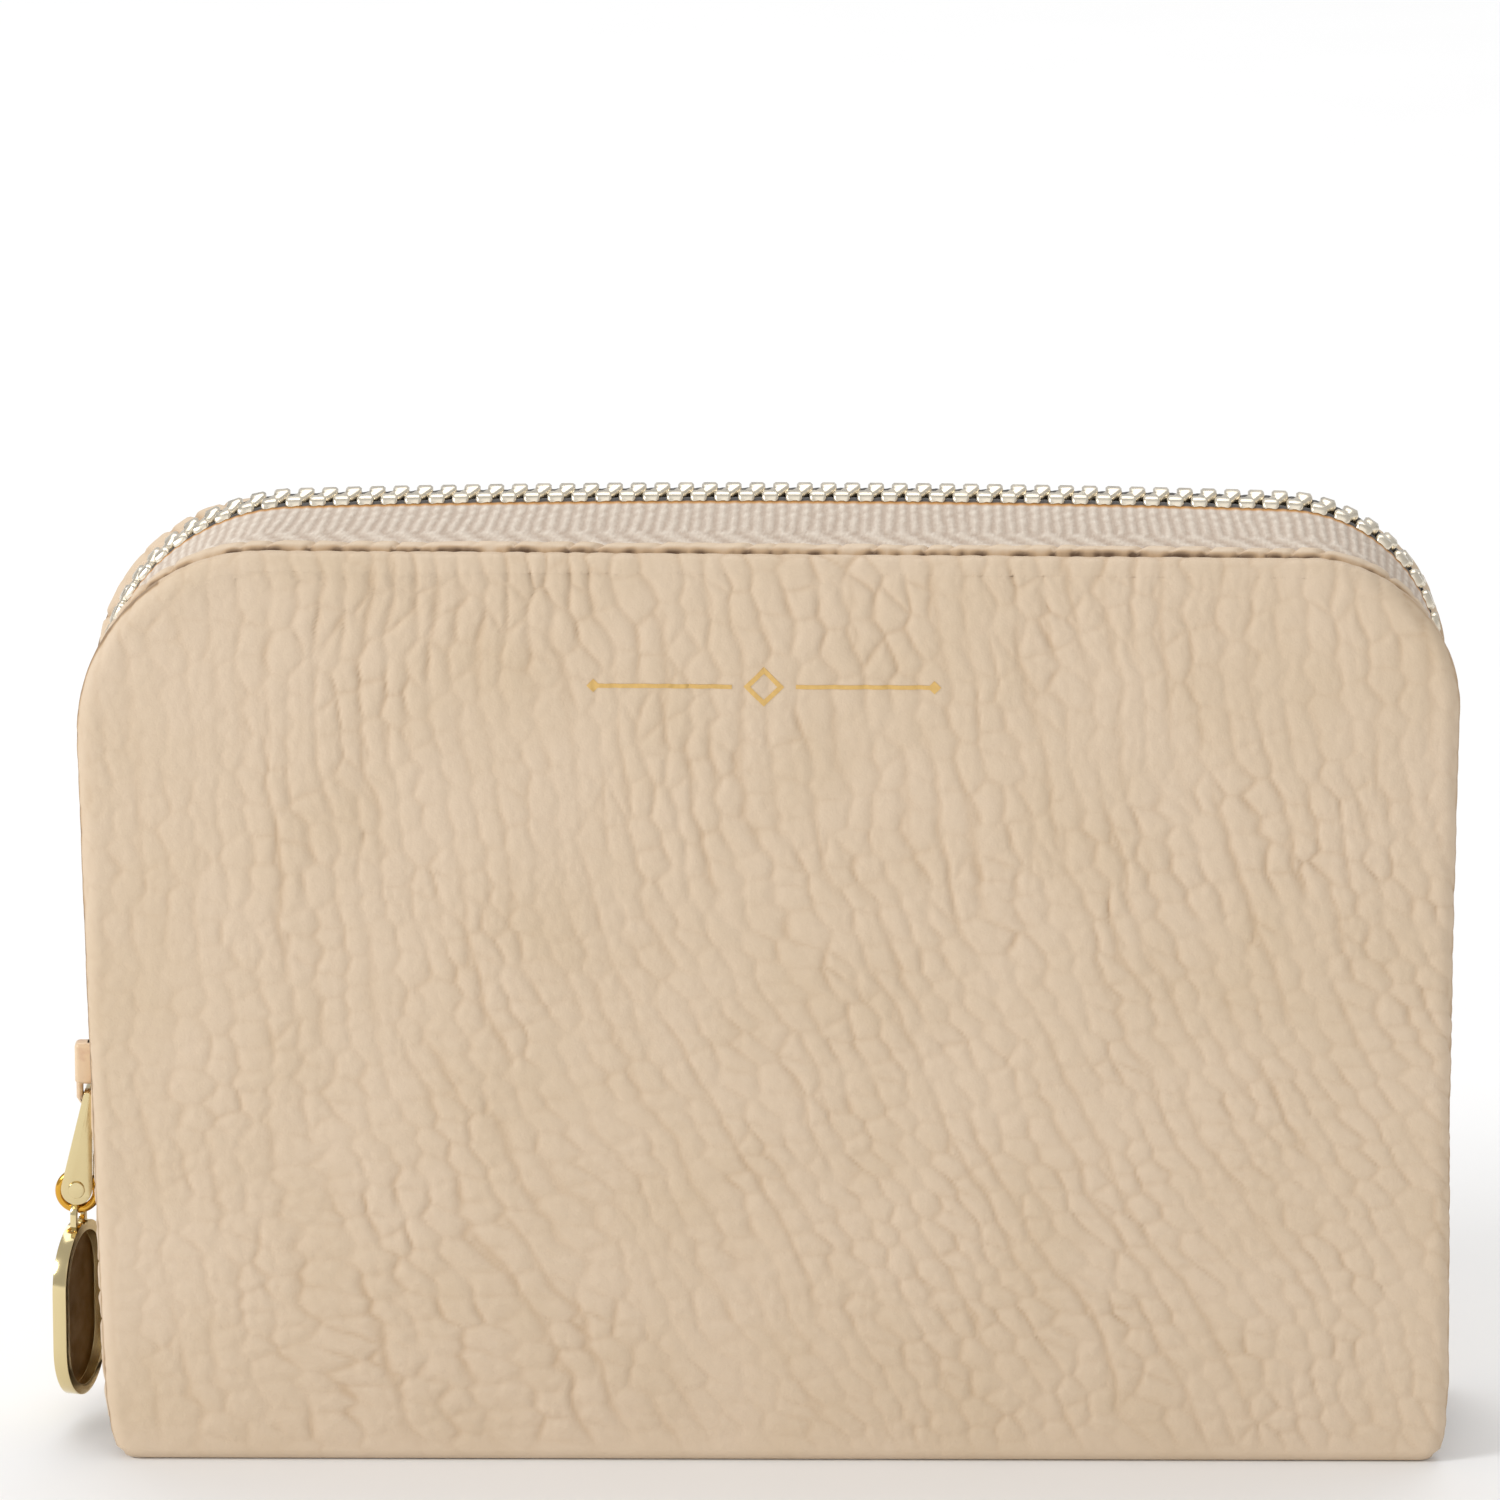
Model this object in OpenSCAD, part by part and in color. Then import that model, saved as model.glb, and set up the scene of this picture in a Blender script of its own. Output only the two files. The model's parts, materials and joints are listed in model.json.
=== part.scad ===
// Compact zip-around wallet in soft leather, standing on its spine.
// Millimetres. +Z is up, the front cover faces -Y, and the origin is the centre of the spine's flat base.
// Front and back halves hinge on the two lower edges of the spine, and a metal zip runs up the left
// side, over the top and down the right side. The slider hangs near the lower left end of the zip.

/* [Covers] */
// Width of a cover
panel_w = 130; // [126:1:134]
// Height of a cover above the base
panel_top = 89; // [86:1:92]
// Outside thickness of the closed wallet
body_t = 26; // [26:0.5:28]
// Radius of the upper left corner
top_left_r = 17.5; // [14:0.5:19]
// Radius of the upper right corner
top_right_r = 14.5; // [12:0.5:18]
// Thickness of the cover leather
leather_t = 1.1; // [0.9:0.1:1.2]
// Thickness of the foam under the leather
foam_t = 0.6; // [0.4:0.1:0.8]
// Thickness of the stiffening board
board_t = 0.8; // [0.6:0.1:0.9]
// Thickness of the lining
lining_t = 0.4; // [0.3:0.1:0.5]

/* [Zip] */
// Distance from the middle plane to the chain on each side
zip_half_w = 63.1; // [62.8:0.1:63.3]
// Height of the chain at the middle of the top run
zip_top = 91.6; // [91:0.1:93]
// Radius of the chain at the upper left corner
zip_left_r = 18.9; // [17:0.1:20]
// Radius of the chain at the upper right corner
zip_right_r = 14.9; // [13.5:0.1:17]
// Spacing of the teeth along one tape
pitch = 2.25; // [2.2:0.05:2.6]
// Thickness of the woven tape
tape_t = 0.5; // [0.4:0.1:0.6]
// Height of the slider's lower end above the base
slider_z = 28.8; // [28:0.2:31]

/* [Inside] */
// Half the width of the coin pocket
pocket_half_w = 56; // [52:1:57]
// Height of the top of the coin pocket walls
pocket_top = 66; // [60:1:68]
// Width of the card slots
slot_w = 96; // [92:1:100]
// Number of card slots on each side
slots = 3; // [2:1:3]

/* [Hidden] */
$fn = 48;

leather = "#d8c3a5";
cloth = "#c9b79e";
gold = "#d9bd7a";
card_board = "#a89a88";

// Depths of the cover's layers, measured from the middle plane to the back of each layer.
outer_y = body_t / 2;
foam_y = outer_y - leather_t;
board_y = foam_y - foam_t;
lining_y = board_y - board_t;
inner_y = lining_y - lining_t;
rim_w = 1.2;          // width of the leather turned over the board's edge
low_left_r = 5;       // lower corners of the cover
low_right_r = 2;
fold_y = outer_y - 1.2; // fold line between a cover and the spine
fold_z = 1.2;
fold_max = 40;        // how far a cover opens
cover_low = 1.5;      // lower edge of the cover

// Side band between the cover and the zip tape.
band_side = 1.6;      // set back from the cover's side edges
band_top = 0.4;       // and from its top edge
band_t = 0.8;
band_end_y = 7.3;     // depth where the band ends and the tape shows

// Chain.
crown_r = 1600;       // the top run is a very shallow arc
tooth_t = 1.9;        // height of a tooth
leg_w = 1.25;
head_w = 0.95;
chain_y = 2.5;        // outer edge of the teeth
neck_y = 0.95;
head_y = 0.72;
tape_end_y = 1.2;
tape_low = 4;         // lower end of the tapes
chain_low = slider_z + 4.8; // first tooth on the left, just above the slider's post
chain_end = 16;       // last tooth on the right

// Slider, in its own frame: +Z is up the left side and +X points out of the wallet.
slider_l = 11;
plate_t = 0.65;
plate_gap = 1.05;     // from the chain's middle plane to a plate
plate_out = plate_gap + plate_t;
bar_r = 0.4;
bar_out = plate_out + bar_r + 0.07;
bridge_gap = bar_out + bar_r + 0.14;
bridge_out = bridge_gap + 0.6;
bar_z = slider_z + 4.3;

// Puller, ring and charm hang below the slider.
pin_out = 3.35;
pin_z = slider_z - 5;
pin_r = 0.6;
puller_r = 1.5;
ring_r = 1.8;         // to the middle of the wire
wire_r = 0.42;
ring_z = pin_z - (ring_r - wire_r - pin_r) + 0.04;
eye_r = 1.05;
eye_z = ring_z - ring_r - (eye_r - wire_r) + 0.15;
charm_turn = 12;      // the charm hangs turned a little about the vertical
charm_r = 5.8;
charm_h = 17.2;
charm_t = 2.0;

// Coin pocket.
pocket_y = 2.9;
wall_t = 0.6;
pocket_low = 2.2;
coin_chain_z = pocket_top + 0.2;
coin_pitch = 2.0;
coin_slider_x = 44;
coin_plate_gap = 0.85;
coin_plate_t = 0.5;

// Card slots.
slot_t = 0.45;
slot_step = 0.9;
slot_low = 6;
slot_tops = [68, 57, 46];
slot_seam_w = 2.5;

// ---------- the zip's route, as points and outward normals ----------

crown_z = zip_top - crown_r;
// Height of the middle of a corner arc of radius r that meets both the side run and the crown.
function corner_z(r) = crown_z + sqrt(pow(crown_r - r, 2) - pow(zip_half_w - r, 2));
left_c = [-zip_half_w + zip_left_r, corner_z(zip_left_r)];
right_c = [zip_half_w - zip_right_r, corner_z(zip_right_r)];
left_turn = atan2(left_c[1] - crown_z, left_c[0]);
right_turn = atan2(right_c[1] - crown_z, right_c[0]);
run_1 = left_c[1] - chain_low;
run_2 = run_1 + zip_left_r * (180 - left_turn) * PI / 180;
run_3 = run_2 + crown_r * (left_turn - right_turn) * PI / 180;
run_4 = run_3 + zip_right_r * right_turn * PI / 180;
chain_l = run_4 + right_c[1] - chain_end;

function on_arc(c, r, a) = [c[0] + r * cos(a), c[1] + r * sin(a), a];
function degrees(s, r) = s / r * 180 / PI;
// Point of the chain's middle line at a distance s from its lower left end, and its outward normal's angle.
function chain_at(s) =
    s < run_1 ? [-zip_half_w, chain_low + s, 180]
    : s < run_2 ? on_arc(left_c, zip_left_r, 180 - degrees(s - run_1, zip_left_r))
    : s < run_3 ? on_arc([0, crown_z], crown_r, left_turn - degrees(s - run_2, crown_r))
    : s < run_4 ? on_arc(right_c, zip_right_r, right_turn - degrees(s - run_3, zip_right_r))
    : [zip_half_w, right_c[1] - (s - run_4), 0];

// ---------- outlines in the XZ plane ----------

// A square corner's waste: what is cut away to leave an arc of radius r. turn picks the corner.
module corner_waste(x, z, turn, r)
    translate([x, z])
        rotate(turn)
            difference() {
                translate([-1, -1]) square(r + 1);
                translate([r, r]) circle(r);
            }

module rounded_panel(left, right, low, top, r_top_left, r_top_right, r_low_left, r_low_right)
    difference() {
        translate([left, low]) square([right - left, top - low]);
        corner_waste(left, top, 270, r_top_left);
        corner_waste(right, top, 180, r_top_right);
        corner_waste(left, low, 0, r_low_left);
        corner_waste(right, low, 90, r_low_right);
    }

module cover_outline(inset = 0)
    rounded_panel(-panel_w / 2 + inset, panel_w / 2 - inset, cover_low + inset, panel_top - inset,
        top_left_r - inset, top_right_r - inset, max(low_left_r - inset, 0.5), max(low_right_r - inset, 0.5));

// Outline of the side band, without its lower edge: it runs on below the base, where the caller cuts it.
module band_outline(inset)
    rounded_panel(-band_x(inset), band_x(inset), -10, band_z(inset),
        top_left_r - band_side - inset, top_right_r - band_side - inset, 0.5, 0.5);

// Extrudes an XZ outline from depth y0 to depth y1.
module slab(y0, y1)
    translate([0, y1, 0]) rotate([90, 0, 0]) linear_extrude(y1 - y0) children();

module box(low, high)
    translate(low) cube(high - low);

// A bar with round ends of radius rp and rq, in 2D, as one outline of two arcs and their outer tangents.
function arc_points(c, r, from, to, n = 14) =
    [for (i = [0 : n]) let (a = from + (to - from) * i / n) c + r * [cos(a), sin(a)]];
module tapered_bar(p, rp, q, rq) {
    d = q - p;
    base = atan2(d[1], d[0]);
    lean = acos((rp - rq) / norm(d));
    polygon(concat(
        arc_points(p, rp, base + lean, base + 360 - lean),
        arc_points(q, rq, base - lean, base + lean)
    ));
}

// Puts a child made on the front half onto the back half.
module on_back() mirror([0, 1, 0]) children();

// ---------- spine ----------

module spine_leather()
    color(leather)
        difference() {
            box([-panel_w / 2 + 3, -outer_y, 0], [panel_w / 2 - 1, outer_y, fold_z]);
            for (side = [-1, 1])
                translate([0, side * fold_y, 0])
                    difference() {
                        box([-panel_w, side > 0 ? 0 : -3, -1], [panel_w, side > 0 ? 3 : 0, fold_z + 1]);
                        translate([-panel_w, 0, fold_z]) rotate([0, 90, 0]) cylinder(h = 2 * panel_w, r = fold_z);
                    }
            box([-58, -9.6, 0.7], [58, 9.6, 2]);
        }

module spine_board() color(card_board) box([-58, -9.6, 0.7], [58, 9.6, 1.2]);

module spine_lining() color(cloth) box([-60, -9.8, 1.2], [60, 9.8, 1.6]);

// ---------- covers (front half) ----------

module cover_leather()
    color(leather)
        difference() {
            slab(-outer_y, -lining_y) cover_outline();
            slab(-foam_y, -lining_y + 1) cover_outline(rim_w);
            // room for the lower edge to turn past the spine's rounded edge
            side_slab(-panel_w, panel_w)
                polygon([
                    [-fold_y, 0], [-fold_y, fold_z + 0.25], [-fold_y - 2, fold_z + 0.25 + 2 * tan(fold_max + 2)],
                    [-fold_y - 2, 0],
                ]);
        }

module cover_foam() color("white") slab(-foam_y, -board_y) cover_outline(rim_w);

module cover_board() color(card_board) slab(-board_y, -lining_y) cover_outline(rim_w);

module cover_lining() color(cloth) slab(-lining_y, -inner_y) cover_outline(3.2);

module facing_strip()
    color(leather)
        intersection() {
            difference() {
                slab(-lining_y, -band_end_y) band_outline(0);
                slab(-lining_y - 1, -band_end_y + 1) band_outline(band_t);
            }
            box([-panel_w, -20, 3.2], [panel_w, 0, 200]);
        }

// ---------- zip ----------

// One tooth, clamped on a tape that lies towards -Y, with its outward face up and the route along X.
module tooth(scale_y = 1, height = tooth_t, leg = leg_w, head = head_w)
    translate([0, 0, -height / 2])
        linear_extrude(height)
            polygon([
                [-leg / 2, -chain_y * scale_y], [leg / 2, -chain_y * scale_y],
                [leg / 2, -neck_y * scale_y], [head / 2, -neck_y * scale_y],
                [head / 2, head_y * scale_y], [-head / 2, head_y * scale_y],
                [-head / 2, -neck_y * scale_y], [-leg / 2, -neck_y * scale_y],
            ]);

module at_chain(s) {
    p = chain_at(s);
    translate([p[0], 0, p[1]]) rotate([0, 90 - p[2], 0]) children();
}

module teeth_row(start)
    color(gold)
        for (s = [start : pitch : chain_l])
            at_chain(s) tooth();

// Stations along the tape: each is the route point on the side band and the one on the chain.
arc_steps = 10;
top_steps = 12;
function band_x(inset) = panel_w / 2 - band_side - inset;
function band_z(inset) = panel_top - band_top - inset;
function band_point(part, t, inset) =
    let (rl = top_left_r - band_side - inset, rr = top_right_r - band_side - inset)
    let (bx = band_x(inset), bz = band_z(inset))
    part == 0 ? [-bx, tape_low + t * (bz - rl - tape_low)]
    : part == 1 ? [-bx + rl - rl * cos(90 * t), bz - rl + rl * sin(90 * t)]
    : part == 2 ? [-bx + rl + t * (2 * bx - rl - rr), bz]
    : part == 3 ? [bx - rr + rr * sin(90 * t), bz - rr + rr * cos(90 * t)]
    : [bx, bz - rr - t * (bz - rr - tape_low)];
function chain_point(part, t) =
    part == 0 ? [-zip_half_w, tape_low + t * (left_c[1] - tape_low), 180]
    : part == 1 ? on_arc(left_c, zip_left_r, 180 - t * (180 - left_turn))
    : part == 2 ? on_arc([0, crown_z], crown_r, left_turn - t * (left_turn - right_turn))
    : part == 3 ? on_arc(right_c, zip_right_r, right_turn * (1 - t))
    : [zip_half_w, right_c[1] - t * (right_c[1] - tape_low), 0];
stations = [
    for (part = [0 : 4])
        let (n = part == 1 || part == 3 ? arc_steps : part == 2 ? top_steps : 4)
        for (i = [part == 0 ? 0 : 1 : n]) [part, i / n]
];
// The tape's section at a station, as six points going round it.
function tape_ring(st) =
    let (
        o = band_point(st[0], st[1], band_t + 0.05),
        i = band_point(st[0], st[1], band_t + 0.05 + tape_t),
        c = chain_point(st[0], st[1]),
        n = tape_t / 2 * [cos(c[2]), sin(c[2])]
    )
    [
        [o[0], -lining_y + 0.3, o[1]], [o[0], -band_end_y, o[1]],
        [c[0] + n[0], -chain_y, c[1] + n[1]], [c[0] + n[0], -tape_end_y, c[1] + n[1]],
        [c[0] - n[0], -tape_end_y, c[1] - n[1]], [c[0] - n[0], -chain_y, c[1] - n[1]],
        [i[0], -band_end_y, i[1]], [i[0], -lining_y + 0.3, i[1]],
    ];
ring_n = 8;

module zip_tape()
    color(cloth)
        polyhedron(
            points = [for (st = stations) each tape_ring(st)],
            faces = [
                [for (k = [0 : ring_n - 1]) k],
                for (j = [0 : len(stations) - 2], k = [0 : ring_n - 1])
                    let (a = j * ring_n + k, b = j * ring_n + (k + 1) % ring_n)
                    each [[a, a + ring_n, b + ring_n], [a, b + ring_n, b]],
                [for (k = [ring_n - 1 : -1 : 0]) (len(stations) - 1) * ring_n + k],
            ]
        );

module top_stop()
    color(gold)
        box([-zip_half_w - 0.9, -chain_y, slider_z - 2.4], [-zip_half_w + 0.9, -tape_end_y + 0.1, slider_z - 0.4]);

module bottom_stop()
    color(gold)
        box([zip_half_w - 1, 0.2, chain_end - 4], [zip_half_w + 1, chain_y, chain_end - 1.5]);

// ---------- slider, made with its outward side along +X and turned onto the left side ----------

module on_left_side() translate([-zip_half_w, 0, 0]) mirror([1, 0, 0]) children();

shoulder_y = 4.1;
tail_y = 3.3;
flange_t = 0.7;
module slider_outline() // in the YZ plane, as (y, z)
    polygon([
        [-2.6, slider_z], [-shoulder_y, slider_z + 1.6], [-shoulder_y, slider_z + 4], [-tail_y, slider_z + 6.5],
        [-tail_y, slider_z + slider_l], [tail_y, slider_z + slider_l], [tail_y, slider_z + 6.5],
        [shoulder_y, slider_z + 4], [shoulder_y, slider_z + 1.6], [2.6, slider_z],
    ]);
// Extrudes a (y, z) outline from x0 to x1.
module side_slab(x0, x1)
    translate([x0, 0, 0]) rotate([90, 0, 90]) linear_extrude(x1 - x0) children();

module slider_plate()
    color(gold) {
        side_slab(plate_gap, plate_out) slider_outline();
        for (side = [-1, 1])
            box([0.5, side > 0 ? tail_y - flange_t : -tail_y, slider_z + 6.5],
                [plate_gap + 0.3, side > 0 ? tail_y : -tail_y + flange_t, slider_z + slider_l]);
    }

module slider_post()
    color(gold)
        side_slab(-plate_gap, plate_gap)
            polygon([[0, slider_z + 0.6], [-0.45, slider_z + 1.6], [0, slider_z + 3.4], [0.45, slider_z + 1.6]]);

// The low arch that holds the puller, along the direction of travel.
bridge_low = slider_z + 3;
bridge_high = slider_z + 9.2;
module slider_bridge()
    color(gold)
        translate([0, 0.9, 0])
            rotate([90, 0, 0])
                linear_extrude(1.8)
                    difference() {
                        polygon([
                            [plate_out, bridge_low], [bridge_out - 0.5, bridge_low], [bridge_out, bridge_low + 0.8],
                            [bridge_out, bridge_high - 1.6], [bridge_out - 0.8, bridge_high], [plate_out, bridge_high],
                        ]);
                        polygon([
                            [plate_out - 1, bridge_low + 0.75], [bridge_gap - 0.1, bridge_low + 0.75],
                            [bridge_gap, bridge_low + 1.1], [bridge_gap, bridge_high - 2.6],
                            [plate_out, bridge_high - 1], [plate_out - 1, bridge_high - 1],
                        ]);
                    }

// ---------- puller, ring and charm ----------

puller_half = 2.3;
arm_t = 0.9;
module puller()
    color(gold)
        difference() {
            translate([0, puller_half, 0])
                rotate([90, 0, 0])
                    linear_extrude(2 * puller_half)
                        tapered_bar([bar_out, bar_z], bar_r, [pin_out, pin_z], puller_r);
            // room for the bridge's foot between the two arms, below the bar
            box([0, -puller_half + arm_t, bridge_low - 0.7], [6, puller_half - arm_t, bar_z - bar_r + 0.1]);
            // fork for the ring
            box([0, -0.62, pin_z - 5], [6, 0.62, pin_z + 2.9]);
            translate([pin_out, puller_half + 1, pin_z]) rotate([90, 0, 0]) cylinder(h = 2 * puller_half + 2, r = pin_r);
        }

module puller_rivet()
    color(gold)
        translate([pin_out, 0, pin_z])
            rotate([90, 0, 0]) {
                cylinder(h = 2 * puller_half, r = pin_r, center = true);
                for (side = [-1, 1])
                    translate([0, 0, side * (puller_half + 0.12)]) cylinder(h = 0.24, r = pin_r + 0.2, center = true);
            }

module jump_ring()
    color(gold)
        translate([pin_out, 0, ring_z])
            rotate([90, 0, 0])
                rotate_extrude() translate([ring_r, 0]) circle(wire_r);

// An oval dished charm with an eye at its top. Its hollow faces the wallet.
charm_top = eye_z - 0.75;
module charm_outline(inset)
    for (z = [charm_top - charm_r, charm_top - charm_h + charm_r])
        translate([0, z]) circle(charm_r - inset);
module charm_oval(inset) {
    charm_outline(inset);
    translate([-charm_r + inset, charm_top - charm_h + charm_r])
        square([2 * (charm_r - inset), charm_h - 2 * charm_r]);
}
module charm()
    color(gold)
        translate([pin_out, 0, 0])
            rotate([0, 0, charm_turn])
                difference() {
                    union() {
                        side_slab(-charm_t / 2, charm_t / 2) charm_oval(0);
                        side_slab(-0.45, 0.45) {
                            translate([0, eye_z]) circle(eye_r + 0.5);
                            translate([-eye_r - 0.5, charm_top - 2]) square([2 * eye_r + 1, eye_z - charm_top + 2]);
                        }
                    }
                    side_slab(-charm_t, charm_t / 2 - 0.6) charm_oval(1);
                    translate([-3, 0, eye_z]) rotate([0, 90, 0]) cylinder(h = 6, r = eye_r);
                }

// ---------- coin pocket ----------

module coin_wall()
    color(cloth) slab(-pocket_y, -pocket_y + wall_t)
        translate([-pocket_half_w, pocket_low]) square([2 * pocket_half_w, pocket_top - pocket_low]);

module coin_side_seams()
    color(leather)
        for (side = [-1, 1])
            translate([side * pocket_half_w - (side > 0 ? 1.2 : 0), -pocket_y + wall_t, pocket_low])
                cube([1.2, 2 * (pocket_y - wall_t), pocket_top - pocket_low]);

module coin_base_seam()
    color(leather) box([-pocket_half_w, -pocket_y, 1.6], [pocket_half_w, pocket_y, pocket_low]);

module coin_tape()
    color(cloth) box([-pocket_half_w, -pocket_y, pocket_top], [pocket_half_w, -1.05, pocket_top + 0.4]);

coin_scale = 0.72;
coin_start = -46;
coin_end = coin_slider_x;
module coin_teeth()
    color(gold)
        for (i = [0 : floor((coin_end - coin_start) / coin_pitch)]) {
            translate([coin_start + i * coin_pitch, 0, coin_chain_z])
                tooth(coin_scale, 1.5, 1.05, 0.8);
            translate([coin_start + (i + 0.5) * coin_pitch, 0, coin_chain_z])
                on_back() tooth(coin_scale, 1.5, 1.05, 0.8);
        }

module coin_stops()
    color(gold)
        for (x = [coin_start - 3.4, coin_slider_x + 6.5])
            box([x, -1.6, coin_chain_z - 0.75], [x + 1.6, 1.6, coin_chain_z + 0.75]);

coin_slider_l = 8.5;
coin_slider_y = 2.1;
module coin_slider_body()
    color(gold)
        translate([coin_slider_x - 3.5, 0, coin_chain_z]) {
            for (side = [-1, 1])
                translate([0, -coin_slider_y, side * (coin_plate_gap + coin_plate_t / 2) - coin_plate_t / 2])
                    cube([coin_slider_l, 2 * coin_slider_y, coin_plate_t]);
            translate([coin_slider_l - 2.4, -0.4, -coin_plate_gap - 0.1])
                cube([1.8, 0.8, 2 * coin_plate_gap + 0.2]);
        }

coin_bar_x = coin_slider_x + 1;
coin_bar_z = coin_chain_z + coin_plate_gap + coin_plate_t + 0.47;
module coin_slider_bridge()
    color(gold)
        translate([0, 0.7, 0])
            rotate([90, 0, 0])
                linear_extrude(1.4)
                    difference() {
                        translate([coin_slider_x - 2.2, coin_chain_z + coin_plate_gap + coin_plate_t])
                            square([5.4, 1.7]);
                        translate([coin_slider_x - 1.5, coin_chain_z + coin_plate_gap + coin_plate_t - 1])
                            square([4, 2.1]);
                    }

coin_puller_l = 17;
module coin_puller()
    color(gold)
        translate([coin_bar_x, 0, coin_bar_z]) {
            linear_extrude(0.7, center = true)
                difference() {
                    union() {
                        translate([-coin_puller_l + 2.2, 0]) circle(2.2);
                        translate([-coin_puller_l + 2.2, -2.2]) square([coin_puller_l - 1.85, 4.4]);
                    }
                    translate([-5, -1.2]) square([6, 2.4]);
                    translate([-coin_puller_l + 2.4, 0]) circle(0.9);
                }
            rotate([90, 0, 0]) cylinder(h = 2.6, r = 0.34, center = true);
        }

// ---------- card slots ----------

module card_slot(k)
    color(leather)
        slab(-inner_y + k * slot_step - slot_t, -inner_y + k * slot_step)
            translate([-slot_w / 2, slot_low]) square([slot_w, slot_tops[k - 1] - slot_low]);

module slot_seams()
    color(leather)
        for (k = [1 : slots])
            slab(-inner_y + (k - 1) * slot_step, -inner_y + k * slot_step - slot_t) {
                for (x = [-slot_w / 2, slot_w / 2 - slot_seam_w])
                    translate([x, slot_low + 1.5]) square([slot_seam_w, slot_tops[k - 1] - slot_low - 1.5]);
                translate([-slot_w / 2, slot_low]) square([slot_w, 1.5]);
            }

// ---------- gussets ----------

// A folded cloth side wall between a cover's lining and the coin pocket.
gusset_low = 5;
gusset_high = 62;
gusset_fold = 9.5;    // how far its fold reaches inward
module gusset() {
    edge = -pocket_half_w - 3;
    fold = edge + gusset_fold;
    color(cloth)
        translate([0, 0, gusset_low])
            linear_extrude(gusset_high - gusset_low)
                polygon([
                    [edge, -inner_y + 0.05], [fold, (-inner_y - pocket_y) / 2], [-pocket_half_w + 0.3, -pocket_y - 0.05],
                    [-pocket_half_w - 0.3, -pocket_y - 0.05], [fold - 0.8, (-inner_y - pocket_y) / 2],
                    [edge - 0.8, -inner_y + 0.05],
                ]);
}

module left_gusset() gusset();
module right_gusset() mirror([1, 0, 0]) gusset();

// ---------- gold foil mark: a lozenge between two rules, pressed on the front cover ----------

module foil_mark()
    color(gold)
        slab(-outer_y - 0.06, -outer_y)
            translate([-0.4, 76.7]) {
                difference() {
                    rotate(45) square(2.7, center = true);
                    rotate(45) square(1.8, center = true);
                }
                for (side = [-1, 1]) {
                    translate([side * 9.6 - 6.6, -0.2]) square([13.2, 0.4]);
                    translate([side * 16, 0]) rotate(45) square(0.9, center = true);
                }
            }

// ---------- nodes ----------

spine_leather();
spine_board();
spine_lining();
coin_wall();  // coin_pocket_front_wall
on_back() coin_wall();  // coin_pocket_back_wall
coin_side_seams();  // coin_pocket_side_seams
coin_base_seam();  // coin_pocket_base_seam
coin_tape();  // coin_zip_front_tape
on_back() coin_tape();  // coin_zip_back_tape
coin_teeth();  // coin_zip_teeth
coin_stops();  // coin_zip_stops
coin_slider_body();
coin_slider_bridge();
coin_puller();
cover_leather();  // front_cover_leather
cover_foam();  // front_foam
cover_board();  // front_board
cover_lining();  // front_lining
facing_strip();  // front_facing_strip
zip_tape();  // front_zip_tape
teeth_row(0);  // front_zip_teeth
top_stop();  // front_top_stop
foil_mark();
card_slot(1);  // front_card_slot_1
card_slot(2);  // front_card_slot_2
card_slot(3);  // front_card_slot_3
slot_seams();  // front_slot_seams
left_gusset();  // front_left_gusset
right_gusset();  // front_right_gusset
on_back() cover_leather();  // back_cover_leather
on_back() cover_foam();  // back_foam
on_back() cover_board();  // back_board
on_back() cover_lining();  // back_lining
on_back() facing_strip();  // back_facing_strip
on_back() zip_tape();  // back_zip_tape
on_back() teeth_row(pitch / 2);  // back_zip_teeth
on_back() top_stop();  // back_top_stop
bottom_stop();
on_back() card_slot(1);  // back_card_slot_1
on_back() card_slot(2);  // back_card_slot_2
on_back() card_slot(3);  // back_card_slot_3
on_back() slot_seams();  // back_slot_seams
on_back() left_gusset();  // back_left_gusset
on_back() right_gusset();  // back_right_gusset
on_left_side() slider_plate();  // slider_outer_plate
on_left_side() mirror([1, 0, 0]) slider_plate();  // slider_inner_plate
on_left_side() slider_post();
on_left_side() slider_bridge();
on_left_side() puller();
on_left_side() puller_rivet();
on_left_side() jump_ring();
on_left_side() charm();
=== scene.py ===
"""Compact zip-around wallet in soft beige leather, standing on its spine.

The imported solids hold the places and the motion. This script builds what is seen: the grained leather
over its padding, the turned edges, the woven zip tapes, the metal chain and the hardware on it, the
linings and pockets inside, and the plain studio around them. Lengths are in millimetres until a mesh
is made, and each piece sits in the same frame as the solids.
"""

import json
import logging
import math
from dataclasses import dataclass, field
from enum import Enum
from typing import Callable, Optional, Sequence

import bmesh
import bpy
import numpy as np
from mathutils import Matrix, Vector

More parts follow.
